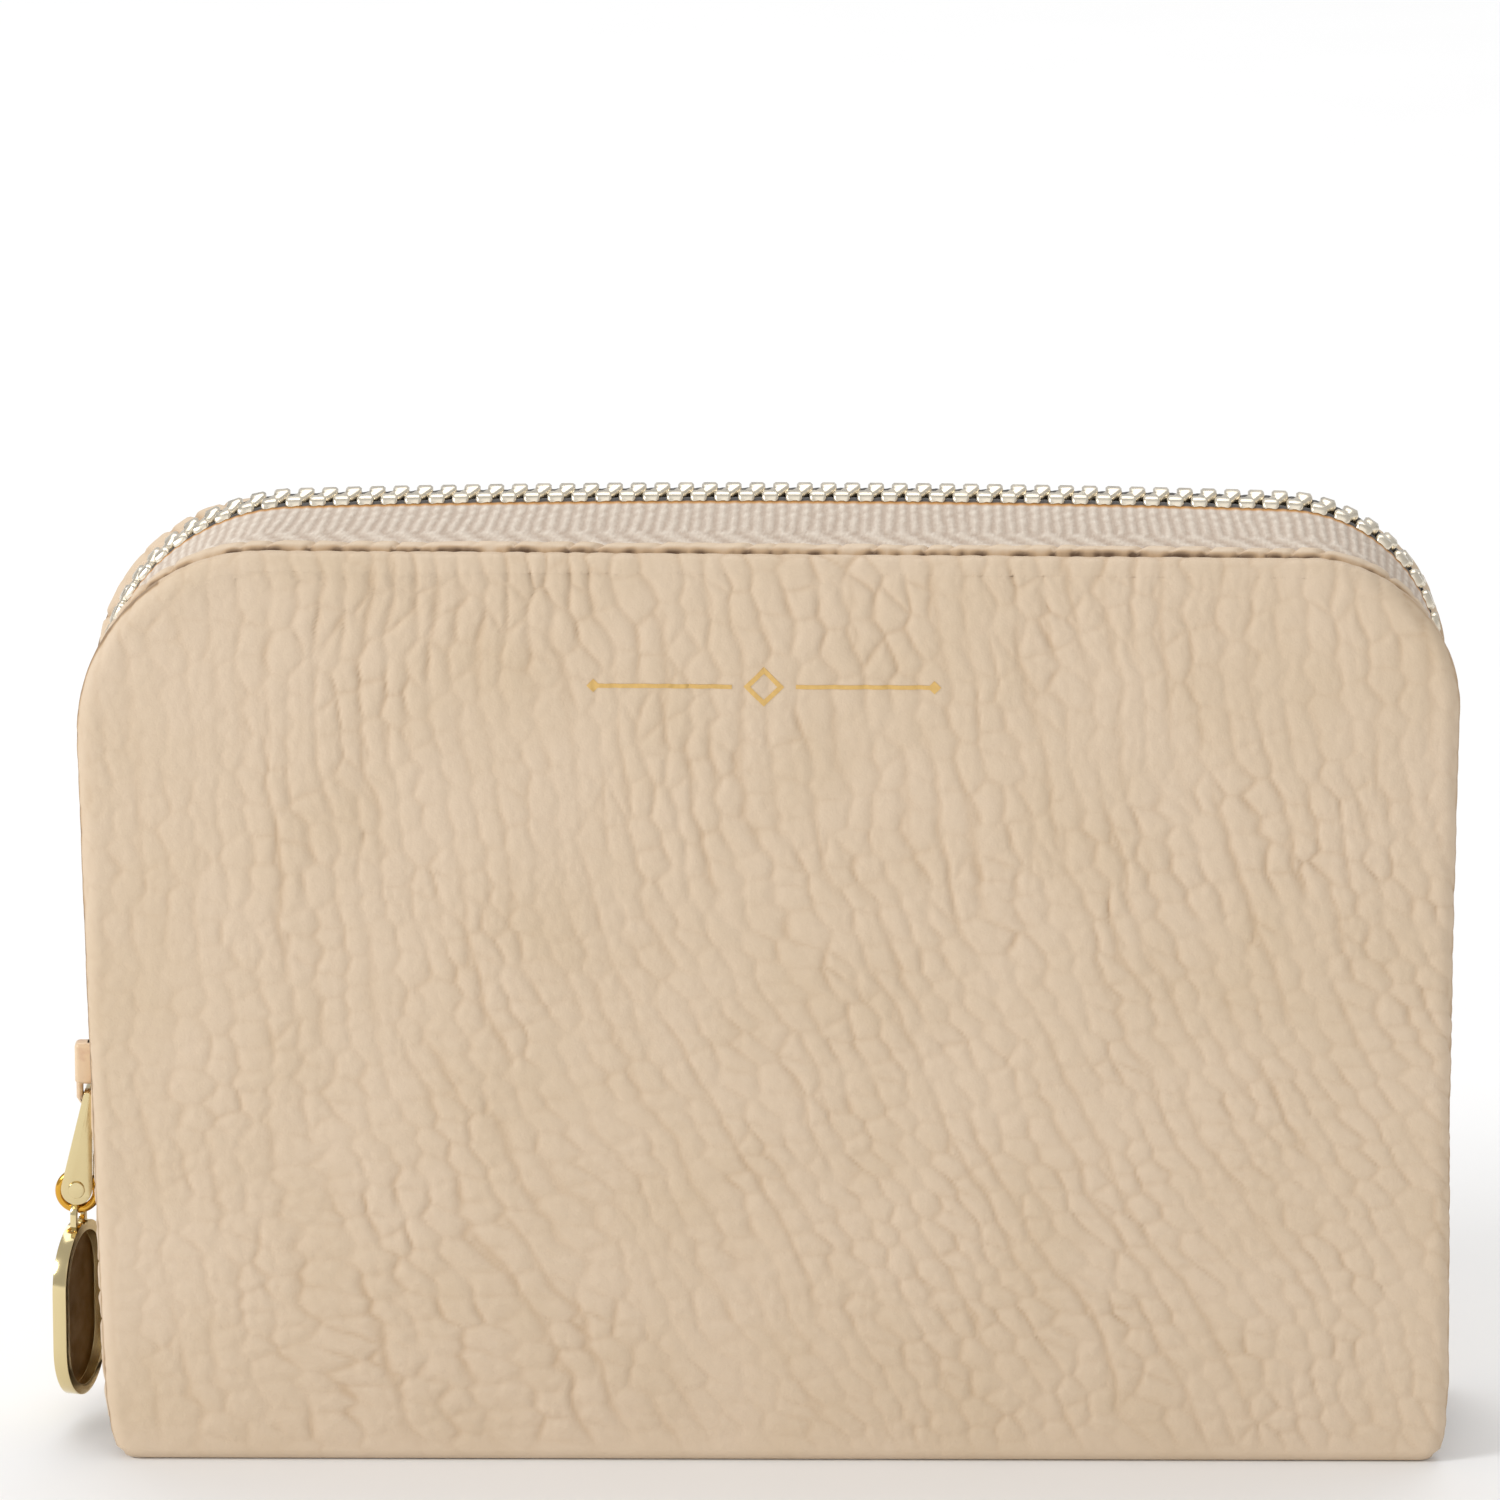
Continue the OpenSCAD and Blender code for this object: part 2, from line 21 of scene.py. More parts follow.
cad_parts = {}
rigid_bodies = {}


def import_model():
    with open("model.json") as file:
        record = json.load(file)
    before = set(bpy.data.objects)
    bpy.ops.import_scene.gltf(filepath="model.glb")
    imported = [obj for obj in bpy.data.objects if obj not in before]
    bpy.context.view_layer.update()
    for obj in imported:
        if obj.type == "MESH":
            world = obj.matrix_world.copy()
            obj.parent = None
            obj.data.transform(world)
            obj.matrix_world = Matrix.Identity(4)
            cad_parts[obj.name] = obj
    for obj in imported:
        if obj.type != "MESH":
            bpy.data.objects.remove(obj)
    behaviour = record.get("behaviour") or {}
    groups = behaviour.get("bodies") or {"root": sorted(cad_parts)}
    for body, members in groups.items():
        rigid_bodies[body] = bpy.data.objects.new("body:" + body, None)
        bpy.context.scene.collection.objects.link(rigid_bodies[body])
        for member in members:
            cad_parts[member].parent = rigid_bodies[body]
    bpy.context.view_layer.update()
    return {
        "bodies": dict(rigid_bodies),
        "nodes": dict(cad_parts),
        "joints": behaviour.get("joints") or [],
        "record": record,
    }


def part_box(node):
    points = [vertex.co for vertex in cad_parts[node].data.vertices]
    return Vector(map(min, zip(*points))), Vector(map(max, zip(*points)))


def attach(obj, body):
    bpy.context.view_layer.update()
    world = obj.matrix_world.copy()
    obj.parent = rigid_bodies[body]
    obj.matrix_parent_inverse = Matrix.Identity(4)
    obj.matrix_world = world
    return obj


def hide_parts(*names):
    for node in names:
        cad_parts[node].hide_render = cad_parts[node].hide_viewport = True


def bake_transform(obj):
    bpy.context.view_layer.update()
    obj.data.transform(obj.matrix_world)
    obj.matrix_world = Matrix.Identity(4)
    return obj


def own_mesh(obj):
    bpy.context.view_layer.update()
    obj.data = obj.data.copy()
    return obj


log = logging.getLogger("wallet")
MM = 0.001
Array = np.ndarray


class Half(Enum):
    """The two halves of the wallet, with the sign of the Y axis that each lies on."""

    FRONT = -1
    BACK = 1

    @property
    def prefix(self) -> str:
        """Start of the half's node names."""
        return "front" if self is Half.FRONT else "back"

    @property
    def body(self) -> str:
        """The body that the half's cover rides on."""
        return f"{self.prefix}_cover"


class Side(Enum):
    """Left and right, seen from the front."""

    LEFT = -1
    RIGHT = 1

    @property
    def word(self) -> str:
        """The side's name in node names."""
        return "left" if self is Side.LEFT else "right"


# -------- numbers


class SmoothNoise:
    """Smooth random values over a plane, the same on every run."""

    def __init__(self, seed: int) -> None:
        """Fills the table of random values that a seed gives."""
        self.table = np.random.default_rng(seed).uniform(-1.0, 1.0, (256, 256))

    def at(self, u: Array, v: Array) -> Array:
        """Interpolates the table.

        Args:
            u: First coordinate, one unit per table entry.
            v: Second coordinate.

        Returns:
            Values from -1 to 1.
        """
        iu, iv = np.floor(u).astype(int), np.floor(v).astype(int)
        fu, fv = u - iu, v - iv
        fu, fv = fu * fu * (3 - 2 * fu), fv * fv * (3 - 2 * fv)
        table = self.table
        low = table[iu % 256, iv % 256] * (1 - fu) + table[(iu + 1) % 256, iv % 256] * fu
        high = table[iu % 256, (iv + 1) % 256] * (1 - fu) + table[(iu + 1) % 256, (iv + 1) % 256] * fu
        return low * (1 - fv) + high * fv

    def rough(self, u: Array, v: Array, octaves: int = 3) -> Array:
        """Sums several octaves of the noise, each twice as fine and half as strong."""
        return sum(self.at(u * 2**k + 17.3 * k, v * 2**k + 9.1 * k) / 2**k for k in range(octaves))


@dataclass(frozen=True)
class Cells:
    """Irregular, stretched cells that fill a plane, as the pebbles of milled leather do."""

    seed: int
    width: float
    groove: float
    dome: float
    faint: float = 0.22
    jitter: tuple[float, float] = (0.92, 0.92)
    stagger: float = 0.0

    def at(self, x: Array, along: Array, length: Array) -> tuple[Array, Array]:
        """Measures the borders between the cells.

        Args:
            x: Place across the cells, in millimetres.
            along: Place along the cells, in cells.
            length: Length of a cell at each point, in millimetres.

        Returns:
            How near each point is to a crease, and how high it is on its pebble, both from 0 to 1.
            Creases that run across the pebbles are fainter than those that run along them.
        """
        table = np.random.default_rng(self.seed).uniform(-0.5, 0.5, (256, 256, 2)) * np.array(self.jitter)
        table[1::2, :, 1] += self.stagger
        u, v = x / self.width, along
        iu, iv = np.floor(u).astype(int), np.floor(v).astype(int)

        def centre(du: int, dv: int) -> Array:
            """Centre of the cell that many places away."""
            return table[(iu + du) % 256, (iv + dv) % 256] + np.stack([iu + du + 0.5, iv + dv + 0.5], -1)

        near = np.full(u.shape, 1e9)
        home = np.zeros(u.shape + (2,))
        for du in (-1, 0, 1):
            for dv in (-1, 0, 1):
                spot = centre(du, dv)
                gap = (spot[..., 0] - u) ** 2 + (spot[..., 1] - v) ** 2
                closer = gap < near
                near = np.where(closer, gap, near)
                home[closer] = spot[closer]
        crease, valley = np.zeros(u.shape), np.zeros(u.shape)
        for du in (-2, -1, 0, 1, 2):
            for dv in (-2, -1, 0, 1, 2):
                spot = centre(du, dv)
                away = spot - home
                size = np.linalg.norm(away, axis=-1)
                real = size > 1e-6
                normal = away / np.maximum(size, 1e-6)[..., None]
                middle = (spot + home) / 2
                flat = (middle[..., 0] - u) * normal[..., 0] + (middle[..., 1] - v) * normal[..., 1]
                across, lengthwise = normal[..., 0] / self.width, normal[..., 1] / length
                scale = np.maximum(np.sqrt(across**2 + lengthwise**2), 1e-6)
                distance, upright = np.abs(flat) / scale, np.abs(across) / scale
                strong = self.faint + (1 - self.faint) * upright**2
                groove = strong * np.exp(-((distance / self.groove) ** 2))
                low = (0.35 + 0.65 * strong) * np.exp(-((distance / self.dome) ** 2))
                crease = np.where(real, np.maximum(crease, groove), crease)
                valley = np.where(real, np.maximum(valley, low), valley)
        return crease, 1 - valley


def smooth_step(low: float, high: float, value: Array) -> Array:
    """Rises smoothly from 0 at low to 1 at high."""
    t = np.clip((value - low) / (high - low), 0, 1)
    return t * t * (3 - 2 * t)


# -------- meshes


def new_mesh(name: str, points: Array, faces: Sequence[Sequence[int]]) -> bpy.types.Object:
    """Makes an object from points in millimetres.

    Args:
        name: The piece's name.
        points: One row of x, y, z per point.
        faces: Point numbers of each face.

    Returns:
        The new object, at the origin.
    """
    mesh = bpy.data.meshes.new(name)
    mesh.from_pydata((np.asarray(points) * MM).tolist(), [], [list(f) for f in faces])
    mesh.validate()
    piece = bpy.data.objects.new(name, mesh)
    bpy.context.collection.objects.link(piece)
    return piece


def only(piece: bpy.types.Object) -> None:
    """Deselects everything and selects one piece.

    Args:
        piece: The piece.
    """
    bpy.ops.object.select_all(action="DESELECT")
    piece.select_set(True)
    bpy.context.view_layer.objects.active = piece


def place_in_mesh(piece: bpy.types.Object) -> bpy.types.Object:
    """Moves a piece's place, turn and size into its mesh.

    Args:
        piece: The piece.

    Returns:
        The piece.
    """
    only(piece)
    bpy.ops.object.transform_apply(location=True, rotation=True, scale=True)
    return piece


def smooth(piece: bpy.types.Object, angle: float = 35.0) -> bpy.types.Object:
    """Shades a piece smoothly, but for edges sharper than an angle in degrees.

    Args:
        piece: The piece.
        angle: Edges sharper than this many degrees stay sharp.

    Returns:
        The piece.
    """
    only(piece)
    bpy.ops.object.shade_smooth_by_angle(angle=math.radians(angle))
    return piece


def face_out(piece: bpy.types.Object, merge: float = 1e-6) -> bpy.types.Object:
    """Merges doubled points and turns every face outwards.

    Args:
        piece: A closed piece.
        merge: Distance under which points are merged.

    Returns:
        The piece.
    """
    only(piece)
    bpy.ops.object.mode_set(mode="EDIT")
    bpy.ops.mesh.select_all(action="SELECT")
    bpy.ops.mesh.remove_doubles(threshold=merge)
    bpy.ops.mesh.normals_make_consistent(inside=False)
    bpy.ops.object.mode_set(mode="OBJECT")
    return piece


def finish_with(piece: bpy.types.Object, kind: str, **settings: object) -> bpy.types.Object:
    """Adds one modifier to a piece and applies it.

    Args:
        piece: The piece to change.
        kind: Blender's name for the modifier's type.
        **settings: The modifier's properties.

    Returns:
        The piece.
    """
    only(piece)
    modifier = piece.modifiers.new(kind.title(), kind)
    for key, value in settings.items():
        setattr(modifier, key, value)
    bpy.ops.object.modifier_apply(modifier=modifier.name)
    return piece


def join(name: str, pieces: Sequence[bpy.types.Object]) -> bpy.types.Object:
    """Joins pieces into one with a new name.

    Args:
        name: Name of the joined piece.
        pieces: The pieces, which are used up.

    Returns:
        The joined piece.
    """
    bpy.ops.object.select_all(action="DESELECT")
    for piece in pieces:
        piece.select_set(True)
    bpy.context.view_layer.objects.active = pieces[0]
    if len(pieces) > 1:
        bpy.ops.object.join()
    pieces[0].name = name
    pieces[0].data.name = name
    return pieces[0]


def rounded_copy(frame: dict, node: str, name: str, width: float, segments: int = 3) -> bpy.types.Object:
    """Copies a solid from the frame and rounds its edges, as tumbling does to cast zip parts.

    Args:
        node: The solid to copy.
        name: The new piece's name.
        width: Width of the rounded edge, in millimetres.
        segments: Faces across the rounded edge.

    Returns:
        The rounded piece.
    """
    mesh = frame["nodes"][node].data.copy()
    piece = bpy.data.objects.new(name, mesh)
    piece.matrix_world = frame["nodes"][node].matrix_world.copy()
    bpy.context.collection.objects.link(piece)
    mesh.materials.clear()
    mesh.name = name
    place_in_mesh(piece)
    bpy.ops.object.mode_set(mode="EDIT")
    bpy.ops.mesh.select_all(action="SELECT")
    bpy.ops.mesh.customdata_custom_splitnormals_clear()
    bpy.ops.mesh.remove_doubles(threshold=2e-6)
    bpy.ops.mesh.dissolve_limited(angle_limit=math.radians(2))
    bpy.ops.object.mode_set(mode="OBJECT")
    finish_with(
        piece, "BEVEL", width=width * MM, segments=segments, limit_method="ANGLE",
        angle_limit=math.radians(40), use_clamp_overlap=True, harden_normals=False,
    )
    return smooth(piece, 45)


def grid_faces(rows: int, columns: int, start: int = 0, closed: bool = False) -> list[list[int]]:
    """Lists the quads of a grid of points stored row by row.

    Args:
        rows: Rows of points.
        columns: Points in a row.
        start: Number of the first point.
        closed: Whether each row is a ring.

    Returns:
        The faces as point numbers.
    """
    last = columns if closed else columns - 1
    return [
        [start + i * columns + j, start + i * columns + (j + 1) % columns,
         start + (i + 1) * columns + (j + 1) % columns, start + (i + 1) * columns + j]
        for i in range(rows - 1)
        for j in range(last)
    ]


def store_uv(piece: bpy.types.Object, uv: Array) -> None:
    """Stores one pair of millimetre lengths per point as the piece's UV map.

    Args:
        piece: The piece.
        uv: Two lengths for each point.
    """
    mesh = piece.data
    layer = mesh.uv_layers.new(name="lengths")
    corners = np.zeros(len(mesh.loops), dtype=np.int32)
    mesh.loops.foreach_get("vertex_index", corners)
    layer.data.foreach_set("uv", np.asarray(uv, dtype=np.float32)[corners].ravel())


def store_value(piece: bpy.types.Object, name: str, values: Array) -> None:
    """Stores one number per point as a named attribute."""
    layer = piece.data.attributes.new(name, "FLOAT", "POINT")
    layer.data.foreach_set("value", np.asarray(values, dtype=np.float32))


# -------- materials


def srgb(code: str) -> tuple[float, float, float, float]:
    """Turns an sRGB hex colour into a linear one.

    Args:
        code: Hex colour, with or without its hash sign.

    Returns:
        Linear red, green, blue and alpha, 0 to 1.
    """
    parts = [int(code.lstrip("#")[i : i + 2], 16) / 255 for i in (0, 2, 4)]
    linear = [c / 12.92 if c <= 0.04045 else ((c + 0.055) / 1.055) ** 2.4 for c in parts]
    return (linear[0], linear[1], linear[2], 1.0)


def add_node(
    tree: bpy.types.NodeTree,
    kind: str,
    settings: Optional[dict] = None,
    values: Optional[dict] = None,
    links: Optional[dict] = None,
) -> bpy.types.Node:
    """Adds one node with its settings, socket values and links.

    Args:
        tree: The material's node tree.
        kind: The node's type name, without the word ShaderNode.
        settings: Properties of the node.
        values: Socket name or number to its value.
        links: Socket name or number to the output that feeds it.

    Returns:
        The new node.
    """
    node = tree.nodes.new(f"ShaderNode{kind}")
    for key, value in (settings or {}).items():
        setattr(node, key, value)
    for key, value in (values or {}).items():
        node.inputs[key].default_value = value
    for key, output in (links or {}).items():
        tree.links.new(output, node.inputs[key])
    return node


def start_material(name: str) -> tuple[bpy.types.Material, bpy.types.NodeTree, bpy.types.Node]:
    """Starts a material.

    Args:
        name: Name of the material.

    Returns:
        The material, its node tree and its shader.
    """
    material = bpy.data.materials.new(name)
    material.use_nodes = True
    tree = material.node_tree
    shader = tree.nodes["Principled BSDF"]
    return material, tree, shader


def dress(piece: bpy.types.Object, material: bpy.types.Material) -> bpy.types.Object:
    """Gives a piece its only material.

    Args:
        piece: The piece.
        material: What it is made of.

    Returns:
        The piece.
    """
    piece.data.materials.clear()
    piece.data.materials.append(material)
    return piece


@dataclass(frozen=True)
class GrainedLeather:
    """Drum-milled calf leather, dyed through and lightly finished.

    Milling shrinks the grain into long pebbles with soft creases between them, so the light breaks up
    on the pebbles; the colour is also darkened in the creases as painted shade.
    """

    name: str = "drum_milled_calf_leather"
    pebble: str = "#D4BFA6"
    crease: str = "#B99C7B"
    seam: str = "#5A422C"
    mottle: str = "#CCB699"
    roughness: float = 0.56
    pore_mm: float = 0.32
    pebble_mm: float = 1.15

    def make(self) -> bpy.types.Material:
        """Builds the material, which reads the piece's crease attribute.

        Returns:
            The material.
        """
        material, tree, shader = start_material(self.name)
        place = add_node(tree, "TexCoord").outputs["Object"]
        creases = add_node(tree, "Attribute", {"attribute_name": "crease"}).outputs["Fac"]
        cloudy = add_node(
            tree, "TexNoise", values={"Scale": 1 / (14 * MM), "Detail": 4.0, "Roughness": 0.55}, links={"Vector": place}
        ).outputs["Fac"]
        dyed = add_node(
            tree, "Mix", {"data_type": "RGBA"}, {6: srgb(self.pebble), 7: srgb(self.mottle)},
            {0: add_node(tree, "MapRange", values={1: 0.4, 2: 0.75, 3: 0.0, 4: 0.7}, links={0: cloudy}).outputs[0]},
        ).outputs[2]
        # Creases darken the colour: painted shade.
        creased = add_node(tree, "Mix", {"data_type": "RGBA"}, {7: srgb(self.crease)}, {0: creases, 6: dyed}).outputs[2]
        # Past full strength the attribute marks the seam and the turned-under edge: the colour darkens towards
        # near-black brown there as painted shadow between the edges.
        seam = add_node(tree, "MapRange", values={1: 1.0, 2: 2.2, 3: 0.0, 4: 1.0}, links={0: creases}).outputs[0]
        colour = add_node(tree, "Mix", {"data_type": "RGBA"}, {7: srgb(self.seam)}, {0: seam, 6: creased}).outputs[2]
        # Pores are a tenth of a millimetre on the hide and are drawn three times as coarse so that they show.
        pores = add_node(
            tree, "TexVoronoi", {"feature": "F1"}, {"Scale": 1 / (self.pore_mm * MM)}, {"Vector": place}
        ).outputs["Distance"]
        pebbles = add_node(
            tree, "TexNoise", values={"Scale": 1 / (self.pebble_mm * MM), "Detail": 3.0, "Roughness": 0.6},
            links={"Vector": place},
        ).outputs["Fac"]
        pebble_bump = add_node(
            tree, "Bump", values={"Strength": 0.6, "Distance": 0.12 * MM}, links={"Height": pebbles}
        ).outputs["Normal"]
        pore_bump = add_node(
            tree, "Bump", values={"Strength": 0.16, "Distance": 0.05 * MM},
            links={"Height": pores, "Normal": pebble_bump},
        ).outputs["Normal"]
        sheen = add_node(
            tree, "MapRange", values={1: 0.3, 2: 0.7, 3: self.roughness - 0.05, 4: self.roughness + 0.07},
            links={0: pebbles},
        ).outputs[0]
        tree.links.new(colour, shader.inputs["Base Color"])
        tree.links.new(sheen, shader.inputs["Roughness"])
        tree.links.new(pore_bump, shader.inputs["Normal"])
        shader.inputs["Specular IOR Level"].default_value = 0.38
        return material


@dataclass(frozen=True)
class PlainLeather:
    """Thin split leather with a smooth pigment finish, as used for card slots: faint grain, soft gloss."""

    name: str = "smooth_split_leather"
    colour: str = "#CBB08B"
    dark: str = "#B79A74"
    roughness: float = 0.48

    def make(self) -> bpy.types.Material:
        """Builds the material on Object coordinates.

        Returns:
            The material.
        """
        material, tree, shader = start_material(self.name)
        place = add_node(tree, "TexCoord").outputs["Object"]
        cloudy = add_node(
            tree, "TexNoise", values={"Scale": 1 / (9 * MM), "Detail": 5.0, "Roughness": 0.6}, links={"Vector": place}
        ).outputs["Fac"]
        grain = add_node(
            tree, "TexVoronoi", {"feature": "DISTANCE_TO_EDGE"}, {"Scale": 1 / (0.7 * MM)}, {"Vector": place}
        ).outputs["Distance"]
        colour = add_node(
            tree, "Mix", {"data_type": "RGBA"}, {6: srgb(self.colour), 7: srgb(self.dark)}, {0: cloudy}
        ).outputs[2]
        bump = add_node(tree, "Bump", values={"Strength": 0.22, "Distance": 0.06 * MM}, links={"Height": grain})
        tree.links.new(colour, shader.inputs["Base Color"])
        tree.links.new(bump.outputs["Normal"], shader.inputs["Normal"])
        shader.inputs["Roughness"].default_value = self.roughness
        return material


@dataclass(frozen=True)
class WovenTape:
    """Polyester zip tape: a fine beaded ground with a herringbone band near the sewn edge.

    The yarns are bright and round, so each one catches the light with a dark gap beside it, painted into
    the colour as highlight and shade. The cord that the teeth grip stands in the shade of the metal, painted as
    near-black brown between the jaws beside a painted gold reflection of the teeth.
    """

    name: str = "woven_polyester_zip_tape"
    yarn: str = "#E3D8CA"
    gap: str = "#BFAE9E"
    gilt: str = "#C08432"
    cord: str = "#1C120B"
    fibre_mm: float = 0.3

    def make(self) -> bpy.types.Material:
        """Builds the material, which reads how high each point is on its yarn, the painted reflection and the cord's
        painted shade.

        Returns:
            The material.
        """
        material, tree, shader = start_material(self.name)
        place = add_node(tree, "TexCoord").outputs["Object"]
        level = add_node(tree, "Attribute", {"attribute_name": "yarn_relief_and_painted_shade"}).outputs["Fac"]
        cord = add_node(tree, "Attribute", {"attribute_name": "cord"}).outputs["Fac"]
        # Single fibres are a fiftieth of a millimetre and are drawn many times as coarse so that they show.
        fuzz = add_node(
            tree, "TexNoise", values={"Scale": 1 / (self.fibre_mm * MM), "Detail": 3.0}, links={"Vector": place}
        ).outputs["Fac"]
        fuzzy = add_node(tree, "Math", {"operation": "MULTIPLY_ADD"}, {1: 0.8, 2: -0.4}, {0: fuzz}).outputs[0]
        height = add_node(tree, "Math", {"operation": "ADD", "use_clamp": True}, links={0: level, 1: fuzzy}).outputs[0]
        # Yarn tops lighter and gaps darker: painted highlight and painted shade.
        woven = add_node(
            tree, "Mix", {"data_type": "RGBA"}, {6: srgb(self.gap), 7: srgb(self.yarn)}, {0: height}
        ).outputs[2]
        gilt = add_node(tree, "Attribute", {"attribute_name": "gilt"}).outputs["Fac"]
        # A gold line painted on the tape under the teeth: painted reflection of the metal.
        edged = add_node(tree, "Mix", {"data_type": "RGBA"}, {7: srgb(self.gilt)}, {0: gilt, 6: woven}).outputs[2]
        # Near-black brown over the cord: painted shade of the teeth.
        colour = add_node(tree, "Mix", {"data_type": "RGBA"}, {7: srgb(self.cord)}, {0: cord, 6: edged}).outputs[2]
        bump = add_node(tree, "Bump", values={"Strength": 0.6, "Distance": 0.1 * MM}, links={"Height": height})
        tree.links.new(colour, shader.inputs["Base Color"])
        tree.links.new(bump.outputs["Normal"], shader.inputs["Normal"])
        shader.inputs["Roughness"].default_value = 0.62
        shader.inputs["Sheen Weight"].default_value = 0.15
        return material


@dataclass(frozen=True)
class LiningCloth:
    """Fine polyester twill lining: narrow diagonal ribs with a quiet satin gloss."""

    name: str = "polyester_twill_lining"
    colour: str = "#BDA789"
    gap: str = "#9C876B"
    rib_mm: float = 0.8

    def make(self) -> bpy.types.Material:
        """Builds the material; the ribs are drawn twice as wide as real ones so that they show.

        Returns:
            The material.
        """
        material, tree, shader = start_material(self.name)
        place = add_node(tree, "TexCoord").outputs["Object"]
        turned = add_node(tree, "Mapping", values={"Rotation": (0.0, math.radians(45), 0.0)}, links={"Vector": place})
        ribs = add_node(
            tree, "TexWave", {"wave_type": "BANDS", "bands_direction": "X"},
            {"Scale": 0.314 / (self.rib_mm * MM), "Distortion": 0.3, "Detail": 1.0}, {"Vector": turned.outputs[0]},
        ).outputs["Fac"]
        # The grooves between the ribs are darker: painted shade.
        colour = add_node(
            tree, "Mix", {"data_type": "RGBA"}, {6: srgb(self.gap), 7: srgb(self.colour)}, {0: ribs}
        ).outputs[2]
        bump = add_node(tree, "Bump", values={"Strength": 0.4, "Distance": 0.06 * MM}, links={"Height": ribs})
        tree.links.new(colour, shader.inputs["Base Color"])
        tree.links.new(bump.outputs["Normal"], shader.inputs["Normal"])
        shader.inputs["Roughness"].default_value = 0.6
        shader.inputs["Sheen Weight"].default_value = 0.2
        return material


@dataclass(frozen=True)
class PlatedMetal:
    """Die-cast or stamped zip metal, polished and plated in pale gold: bright, with faint handling marks."""

    name: str
    colour: str = "#E9D2A0"
    roughness: float = 0.16
    mark_mm: float = 2.2

    def make(self) -> bpy.types.Material:
        """Builds the material on Object coordinates.

        Returns:
            The material.
        """
        material, tree, shader = start_material(self.name)
        place = add_node(tree, "TexCoord").outputs["Object"]
        marks = add_node(
            tree, "TexNoise", values={"Scale": 1 / (self.mark_mm * MM), "Detail": 5.0, "Roughness": 0.65},
            links={"Vector": place},
        ).outputs["Fac"]
        rough = add_node(
            tree, "MapRange", values={1: 0.35, 2: 0.7, 3: self.roughness * 0.8, 4: self.roughness * 1.5},
            links={0: marks},
        ).outputs[0]
        bump = add_node(tree, "Bump", values={"Strength": 0.08, "Distance": 0.05 * MM}, links={"Height": marks})
        tree.links.new(rough, shader.inputs["Roughness"])
        tree.links.new(bump.outputs["Normal"], shader.inputs["Normal"])
        shader.inputs["Base Color"].default_value = srgb(self.colour)
        shader.inputs["Metallic"].default_value = 1.0
        return material


@dataclass(frozen=True)
class PressedFoil:
    """Gold foil pressed into leather by a hot die: thin, bright and slightly broken by the grain."""

    name: str = "pressed_gold_foil"
    colour: str = "#E3BE78"
    worn: str = "#CFA868"

    def make(self) -> bpy.types.Material:
        """Builds the material on Object coordinates.

        Returns:
            The material.
        """
        material, tree, shader = start_material(self.name)
        place = add_node(tree, "TexCoord").outputs["Object"]
        broken = add_node(
            tree, "TexNoise", values={"Scale": 1 / (0.5 * MM), "Detail": 4.0}, links={"Vector": place}
        ).outputs["Fac"]
        colour = add_node(
            tree, "Mix", {"data_type": "RGBA"}, {6: srgb(self.colour), 7: srgb(self.worn)}, {0: broken}
        ).outputs[2]
        bump = add_node(tree, "Bump", values={"Strength": 0.3, "Distance": 0.05 * MM}, links={"Height": broken})
        tree.links.new(colour, shader.inputs["Base Color"])
        tree.links.new(bump.outputs["Normal"], shader.inputs["Normal"])
        shader.inputs["Metallic"].default_value = 0.85
        shader.inputs["Roughness"].default_value = 0.32
        return material


@dataclass(frozen=True)
class FibreSheet:
    """Bonded fibre or foam sheet inside the covers: matt, flecked with short fibres."""

    name: str
    colour: str
    fleck: str

    def make(self) -> bpy.types.Material:
        """Builds the material on Object coordinates.

        Returns:
            The material.
        """
        material, tree, shader = start_material(self.name)
        place = add_node(tree, "TexCoord").outputs["Object"]
        flecks = add_node(
            tree, "TexNoise", values={"Scale": 1 / (1.2 * MM), "Detail": 6.0, "Roughness": 0.7}, links={"Vector": place}
        ).outputs["Fac"]
        colour = add_node(
            tree, "Mix", {"data_type": "RGBA"}, {6: srgb(self.colour), 7: srgb(self.fleck)}, {0: flecks}
        ).outputs[2]
        bump = add_node(tree, "Bump", values={"Strength": 0.3, "Distance": 0.1 * MM}, links={"Height": flecks})
        tree.links.new(colour, shader.inputs["Base Color"])
        tree.links.new(bump.outputs["Normal"], shader.inputs["Normal"])
        shader.inputs["Roughness"].default_value = 0.9
        return material


@dataclass(frozen=True)
class Enamel:
    """Stove enamel over a die-cast slider, tinted to match the leather: smooth, glossy and slightly uneven."""

    name: str = "beige_stove_enamel"
    colour: str = "#DEC4A3"
    thin: str = "#C99F82"

    def make(self) -> bpy.types.Material:
        """Builds the material on Object coordinates.

        Returns:
            The material.
        """
        material, tree, shader = start_material(self.name)
        place = add_node(tree, "TexCoord").outputs["Object"]
        uneven = add_node(
            tree, "TexNoise", values={"Scale": 1 / (1.6 * MM), "Detail": 3.0}, links={"Vector": place}
        ).outputs["Fac"]
        colour = add_node(
            tree, "Mix", {"data_type": "RGBA"}, {6: srgb(self.colour), 7: srgb(self.thin)},
            {0: add_node(tree, "MapRange", values={1: 0.5, 2: 0.8, 3: 0.0, 4: 1.0}, links={0: uneven}).outputs[0]},
        ).outputs[2]
        bump = add_node(tree, "Bump", values={"Strength": 0.12, "Distance": 0.06 * MM}, links={"Height": uneven})
        tree.links.new(colour, shader.inputs["Base Color"])
        tree.links.new(bump.outputs["Normal"], shader.inputs["Normal"])
        shader.inputs["Roughness"].default_value = 0.3
        return material


